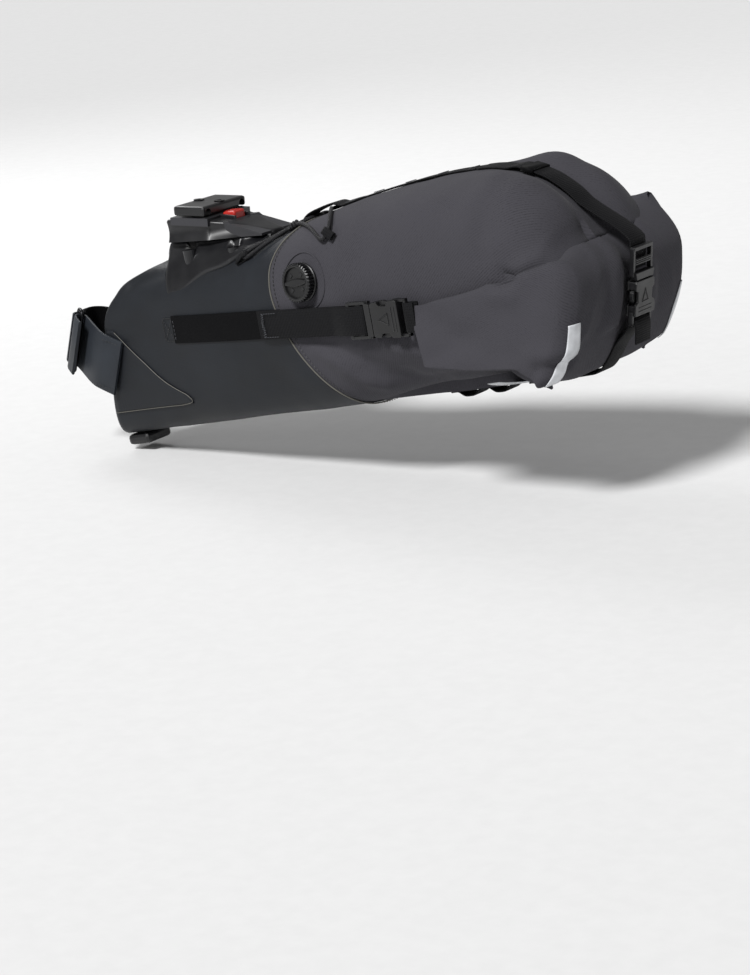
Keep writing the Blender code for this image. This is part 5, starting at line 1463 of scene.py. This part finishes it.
def makeStrips(side, tag, rollRings):
    # the rear strip follows the corner of the roll, bowed to the rear
    rings = rollRings if side < 0 else list(reversed(rollRings))
    rows = []
    for t in spread(0.0, 1.0, 36):
        w = -0.1238 + 0.0400 * t
        centre = 6.60 + 0.85 * math.sin(math.pi * (0.20 + 0.52 * t))
        row = []
        for v in spread(-1.0, 1.0, 9):
            p = rollAt(rings, centre + 0.55 * v, w)
            a = rollAt(rings, centre + 0.55 * v + 0.2, w) - p
            b = rollAt(rings, centre + 0.55 * v, w + 0.003) - p
            out = a.cross(b).normalized()
            if out.x * 0.4 + out.y * side < 0:
                out = -out
            row.append(p + out * 0.0007)
        rows.append(row)
    sheetPiece(f"reflectorRear_{tag}", rows, 0.0005, film, (f"reflective_rear_{tag}",))
    rows = []
    first, last = 0.236, 0.298  # ends of the low strip
    for u in spread(first, last, 36):
        t = (u - first) / (last - first)
        w = -0.1235 - 0.0058 * math.sin(math.pi * min(t, 0.5)) - 0.0006 * t
        half = 0.0036 * min(1.0, t * 5 + 0.15)
        row = []
        for v in spread(-1.0, 1.0, 5):
            high = w + half * v
            high = max(high, -0.1296)
            row.append(Vector((u, side * (sideAt(u, high) + 0.0020 - tuck(u, high)), high)))
        rows.append(row)
    sheetPiece(f"reflectorLow_{tag}", rows, 0.0005, film, (f"reflective_low_{tag}",))


def makeNosePatch(side, tag):
    edge = curveThrough([(-0.1100, -0.0430), (-0.1060, -0.0432), (-0.1000, -0.0480), (-0.0955, -0.0560),
                         (-0.0700, -0.0850), (-0.0430, -0.1100), (-0.0400, -0.1130)])
    rows = []
    for w in spread(-0.1090, -0.0425, 36):
        share = (w + bag["depth"]) / (topAt(-0.100) + bag["depth"])
        first = noseCurve(share) + 0.0062
        last = edge(w)
        rows.append([Vector((u, side * (sideAt(u, w) + 0.0007 + laminatePush(Vector((u, side * 0.03, w)))),
                             w))
                     for u in spread(first, last, 24)])
    sheetPiece(f"nosePatch_{tag}", rows, 0.0005, laminate, (f"nose_patch_{tag}",))
    rim = [row[-1] for row in rows]
    lift = Vector((0.0, side * 0.0003, 0.0))
    path = smoothPath([p + lift for p in rows[0][::4]] + [p + lift for p in rim[1::3]], 0.0015)
    # the patch's raised edge, coloured pale as a painted highlight
    newPiece(f"patchEdge_{tag}", tubeMesh(f"patchEdge_{tag}", path, 0.00028, 6, False, bagFrame), paintedEdgeHighlight,
             "bag")


for side, tag in sides:
    makeNosePatch(side, tag)
    makeStrips(side, tag, rollRings)
print("patches and reflectors made")


# seatpost strap and its ring, in the post's own frame, with widths along the post

post = {"radius": 0.0158, "height": 0.046, "thick": 0.0024, "wire": 0.0016, "ringAngle": 236.0,
        "ringHalf": 0.0046,
        "rootX": 0.046, "rootY": 0.0374}
wrap = post["radius"] + clear
ringRadius = wrap + post["thick"] + 0.0012 + post["wire"]
upright = Matrix.Rotation(-math.pi / 2, 4, "X")


def roundPost(radius, start, finish, count):
    return [(radius * math.cos(math.radians(a)), radius * math.sin(math.radians(a)))
            for a in spread(start, finish, count)]


def ringPoint(along, out):
    a = math.radians(post["ringAngle"])
    return (ringRadius * math.cos(a) - along * math.sin(a) + out * math.cos(a),
            ringRadius * math.sin(a) + along * math.cos(a) + out * math.sin(a))


def postTape(name, path, width, thick, mat, body, replaced, rounds=2):
    # the path is (x, y) round the post; turned so that its second number is y and the width runs up the post
    strapInPlane(name, path, width, thick, mat, body, replaced, postFrame, rounds, 0.0001,
                 turn=upright)


def makePostStraps():
    root, rootY = post["rootX"], post["rootY"]
    half, wire, thick = post["ringHalf"], post["wire"], post["thick"]
    path = [(root, rootY), (0.034, rootY - 0.0012), (0.025, rootY - 0.0034)]
    path = list(reversed(path + roundPost(wrap, 97, post["ringAngle"] - 14, 20)))
    postTape("postStrap", path, post["height"], thick, pile, "bag", ("post_strap",), 1)
    gap = wire + clear + thick
    inside = half - wire - clear - thick + 0.0002
    path = [ringPoint(0.0175, gap), ringPoint(inside, gap), ringPoint(inside, -gap + 0.0013),
            ringPoint(half, -gap + 0.0013), ringPoint(0.012, -gap + 0.0008), (0.0225, -rootY + 0.0020),
            (0.034, -rootY + 0.0006), (root, -rootY)]
    postTape("ringStrap", path, post["height"], thick, coated, "bag", ("ring_strap",))
    out = wire * math.sqrt(2.0) + clear
    path = [ringPoint(-half + 0.0002, out), ringPoint(-half - wire - 0.001, out)]
    path += roundPost(wrap + thick + 0.0010, post["ringAngle"] - 32, 128, 14)
    postTape("strapFlap", path, post["height"] - 0.004, 0.0018, coated, "flap", ("strap_flap",), 1)
    # the ring is one bent wire
    a = math.radians(post["ringAngle"])
    along = Vector((-math.sin(a), math.cos(a), 0.0))
    middle = Vector((*ringPoint(0.0, 0.0), 0.0))
    tall, corner = post["height"] / 2 + 0.0010 + wire, 0.0022
    points = []
    for cx, cz, start in ((half - corner, tall - corner, 0), (corner - half, tall - corner, 90),
                          (corner - half, corner - tall, 180), (half - corner, corner - tall, 270)):
        for turn in (0, 30, 60, 90):
            b = math.radians(start + turn)
            points.append(middle + along * (cx + corner * math.cos(b))
                          + Vector((0.0, 0.0, cz + corner * math.sin(b))))
    newPiece("strapRing", tubeMesh("strapRing", points, wire, 12, True, postFrame), blackSteel, "bag",
             ("strap_ring",))
    # edge stitching on the strap from the nose
    runs = []
    for z in (-1, 1):
        line = [Vector((x, -rootY + 0.0006 - 0.0022 * ((0.034 - x) / 0.012 if x < 0.034 else 0.0),
                        z * 0.019))
                for x in spread(0.026, 0.044, 10)]
        runs.append(([p + Vector((0.0, -0.0001, 0.0)) for p in line], [Vector((0.0, -1.0, 0.0))] * 10))
    stitching("ringStrapStitches", runs, blackThread, "bag", postFrame)


coated = coatedLaminate("coated laminate, folded into a strap", "#15181d", "#272c33")
makePostStraps()
print("seatpost strap made")


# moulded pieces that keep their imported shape, with rounded edges

kept = {
    "adapter_body": (greyNylon, 0.0007), "base_plate": (baseNylon, 0.0006),
    "release_button": (redPlastic, 0.0004),
    "rail_clamp_plate": (acetal, 0.0006), "latch_lever": (acetal, 0.0003), "latch_pin": (zincSteel, 0.0),
    "clamp_bolt_front": (blackSteel, 0.0003), "clamp_bolt_rear": (blackSteel, 0.0003),
    "clamp_nut_front": (zincSteel, 0.0002), "clamp_nut_rear": (zincSteel, 0.0002),
    "backing_plate": (sheet, 0.0004), "base_stiffener": (sheet, 0.0), "nose_stiffener": (sheet, 0.0),
    "nose_bumper": (acetal, 0.0006), "valve_nut": (acetal, 0.0003),
}
for place in ("front_left", "front_right", "rear_left", "rear_right"):
    kept[f"plate_screw_{place}"] = (blackSteel, 0.0003)
for node, (mat, width) in kept.items():
    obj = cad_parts[node]
    obj.data.materials.clear()
    obj.data.materials.append(mat)
    if width:
        bevelled(obj, width, 2, 40.0)


def adapterShroud():
    # the outer walls of the adapter: wide under the rails, falling to a narrow tail behind the button
    stations = [(-0.0214, 0.0250, 0.0235, 0.0165), (-0.0196, 0.0284, 0.0270, 0.0182),
                (0.0060, 0.0288, 0.0272, 0.0182),
                (0.0150, 0.0287, 0.0268, 0.0181), (0.0176, 0.0284, 0.0262, 0.0166),
                (0.0200, 0.0278, 0.0250, 0.0146),
                (0.0330, 0.0250, 0.0196, 0.0122), (0.0450, 0.0206, 0.0150, 0.0078),
                (0.0560, 0.0160, 0.0112, 0.0046),
                (0.0640, 0.0118, 0.0080, 0.0024), (0.0652, 0.0100, 0.0066, 0.0014)]
    rings = []
    for p, foot, head, high in stations:
        half = []
        for t in spread(0.0, 1.0, 7):
            waist = 0.0018 * math.sin(math.pi * t) * min(1.0, high / 0.012)  # the walls are a little hollow
            half.append((foot + (head - foot) * t - waist, 0.0004 + (high - 0.0018 - 0.0004) * t))
        half += [(head - 0.0006, high - 0.0006), (head - 0.0022, high),
                 (min(0.0084, head * 0.6), high + 0.0003)]
        ring = [Vector((p, y, q)) for y, q in half] + [Vector((p, -y, q)) for y, q in reversed(half)]
        rings.append(ring)
    rings = ringsThrough(rings, 4)
    mesh = closedSkin("adapterShroud", rings, mountFrame)
    closeEnds(mesh, len(rings[0]))
    # the well in which the button travels
    bm = bmesh.new()
    bm.from_mesh(mesh)
    back = mountFrame.inverted()
    well = []
    for face in bm.faces:
        middle = back @ face.calc_center_median()
        if abs(middle.y) < 0.0030 and 0.0176 < middle.x < 0.0330:
            well.append(face)
    bmesh.ops.delete(bm, geom=well, context="FACES")
    bm.to_mesh(mesh)
    bm.free()
    newPiece("adapterShroud", mesh, greyNylon, "adapter")


def buttonSurround():
    # a dark raised frame that guards the button on three sides
    bm = bmesh.new()
    for low, high in (((0.0176, 0.0080, 0.0100), (0.0330, 0.0104, 0.0176)),
                      ((0.0176, -0.0104, 0.0100), (0.0330, -0.0080, 0.0176)),
                      ((0.0312, -0.0104, 0.0090), (0.0340, 0.0104, 0.0146))):
        block(bm, low, high)
    for vert in bm.verts:
        if vert.co.z > 0.012:
            vert.co.z -= 0.16 * max(0.0, vert.co.x - 0.0200)
    obj = newPiece("buttonSurround", fromBmesh(bm, "buttonSurround", mountFrame), baseNylon, "adapter",
                   (),
                   False)
    bevelled(obj, 0.0008, 3)


baseSide = [(-0.046, 0.029), (-0.044, 0.035), (-0.038, 0.037), (0.000, 0.0375), (0.026, 0.036),
            (0.042, 0.0295),
            (0.058, 0.0205), (0.074, 0.0105), (0.078, 0.0050)]
slideLine = [bagFrame.inverted() @ (mountFrame @ Vector((p, 0.0, 0.0))) for p in (-0.02, 0.05)]


def slideHeight(u):
    a, b = slideLine
    return a.z + (u - a.x) * (b.z - a.z) / (b.x - a.x)


screwSpots = (-0.019, 0.0245)
screwOut = 0.0275


def baseFairing(side, tag):
    # moulded shoulder between the sliding deck and the skirt, hollowed round each screw
    wide = curveThrough(baseSide)
    rows = []
    for u in spread(-0.0455, 0.0495, 76):
        outer = wide(u) + 0.0004
        inner = max(0.0145, min(0.0222, outer - 0.012)) * (1.0 if u < 0.03 else 1.0 - 8.0 * (u - 0.03))
        deck = slideHeight(u) - 0.0004
        row = []
        for t in spread(0.0, 1.0, 44):
            y = inner + (outer - inner) * t
            skirt = heightAt(u, y) + 0.0031
            front = min(1.0, max(0.0, (u + 0.0455) / 0.006))
            fall = (1.0 - t ** 0.55) ** 1.25 * front ** 0.5
            high = skirt + (deck - skirt) * fall
            for spot in screwSpots:
                away = math.hypot(u - spot, y - screwOut)
                seat = slideHeight(spot) - 0.0064
                hollow = min(1.0, max(0.0, (away - 0.0046) / 0.0030))
                hollow = hollow * hollow * (3 - 2 * hollow)
                if high > seat:
                    high = seat + (high - seat) * hollow
            row.append(Vector((u, side * y, max(high, skirt))))
        row.append(Vector((u, side * (outer + 0.0002), heightAt(u, outer) - 0.0006)))
        rows.append(row)
    mesh = closedSkin(f"baseFairing_{tag}", rows, bagFrame, False)
    obj = newPiece(f"baseFairing_{tag}", mesh, baseNylon, "bag")
    solidify(obj, 0.0008, 1.0 if side > 0 else -1.0)


adapterShroud()
buttonSurround()
for side, tag in sides:
    baseFairing(side, tag)


def buttonRibs():
    # four finger ribs across the button's crown
    bm = bmesh.new()
    middle, half, top = 0.0245, 0.0048, 0.0186
    for i in range(4):
        p = middle - 0.0036 + 0.0024 * i
        block(bm, (p - 0.0006, -half, top - 0.0010), (p + 0.0006, half, top + 0.0005))
    obj = newPiece("buttonRibs", fromBmesh(bm, "buttonRibs", mountFrame), redPlastic, "button",
                   (),
                   False)
    bevelled(obj, 0.0004, 2)


buttonRibs()
print("moulded pieces finished")


# camera, light and floor

view = {"place": (1.4161, -1.8429, 0.3729), "azimuth": 34.79, "elevation": 14.6, "roll": -4.46,
        "lens": 110.77}


def makeCamera():
    az, el, tilt = (math.radians(view[k]) for k in ("azimuth", "elevation", "roll"))
    right = Vector((math.cos(az), math.sin(az), 0.0))
    back = Vector((math.sin(az) * math.cos(el), -math.cos(az) * math.cos(el), math.sin(el)))
    up = back.cross(right)
    x = right * math.cos(tilt) + up * math.sin(tilt)
    y = up * math.cos(tilt) - right * math.sin(tilt)
    data = bpy.data.cameras.new("camera")
    data.lens = view["lens"]
    data.sensor_width = data.sensor_height = 36.0
    data.sensor_fit = "AUTO"
    cam = bpy.data.objects.new("camera", data)
    cam.matrix_world = Matrix((x, y, back)).transposed().to_4x4()
    cam.matrix_world.translation = view["place"]
    bpy.context.scene.collection.objects.link(cam)
    bpy.context.scene.camera = cam


def softLight(name, place, target, size, power):
    data = bpy.data.lights.new(name, "AREA")
    data.shape = "DISK"
    data.size = size
    data.energy = power
    lamp = bpy.data.objects.new(name, data)
    lamp.location = place
    lamp.rotation_euler = (Vector(target) - Vector(place)).to_track_quat("-Z", "Y").to_euler()
    bpy.context.scene.collection.objects.link(lamp)


def sunLight(name, towards, power, spreadAngle):
    data = bpy.data.lights.new(name, "SUN")
    data.energy = power
    data.angle = math.radians(spreadAngle)
    lamp = bpy.data.objects.new(name, data)
    lamp.rotation_euler = Vector(towards).to_track_quat("Z", "Y").to_euler()
    bpy.context.scene.collection.objects.link(lamp)


def makeStage():
    # a wide pale floor just under the part
    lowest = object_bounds()[0][2] - 0.004
    size = 14.0
    points = [(-size, -size, lowest), (size, -size, lowest), (size, size, lowest), (-size, size, lowest)]
    mesh = meshOf("floor", points, [(0, 1, 2, 3)])
    floorMat = newMaterial("painted board, matt white", "#dadada", 0.9)
    where = (addNode(floorMat, "ShaderNodeTexCoord"), "Object")
    grain = addNode(floorMat, "ShaderNodeTexNoise", Vector=where, Scale=90.0, Detail=3.0)
    tone = colourBetween(floorMat, (grain, "Fac"), "#d9d9d9", "#dcdcdc", 0.3, 0.7)
    finishShader(floorMat, (tone, "Color"))
    mesh.materials.append(floorMat)
    obj = bpy.data.objects.new("floor", mesh)
    bpy.context.scene.collection.objects.link(obj)
    world = bpy.data.worlds.new("studio")
    bpy.context.scene.world = world
    world.use_nodes = True
    world.node_tree.nodes["Background"].inputs["Color"].default_value = linear("#ffffff")
    world.node_tree.nodes["Background"].inputs["Strength"].default_value = 0.24
    bpy.context.scene.view_settings.view_transform = "Standard"


makeCamera()
makeStage()
sunLight("key", (-0.02, -0.66, 0.75), 3.7, 14.0)
softLight("rim", (-1.3, 0.9, 1.1), (0.1, 0.0, 0.0), 0.8, 10.0)
softLight("front", (-0.5, -2.0, 0.7), (0.1, 0.0, -0.05), 0.5, 4.0)
print("camera, light and floor made")

bpy.context.view_layer.update()
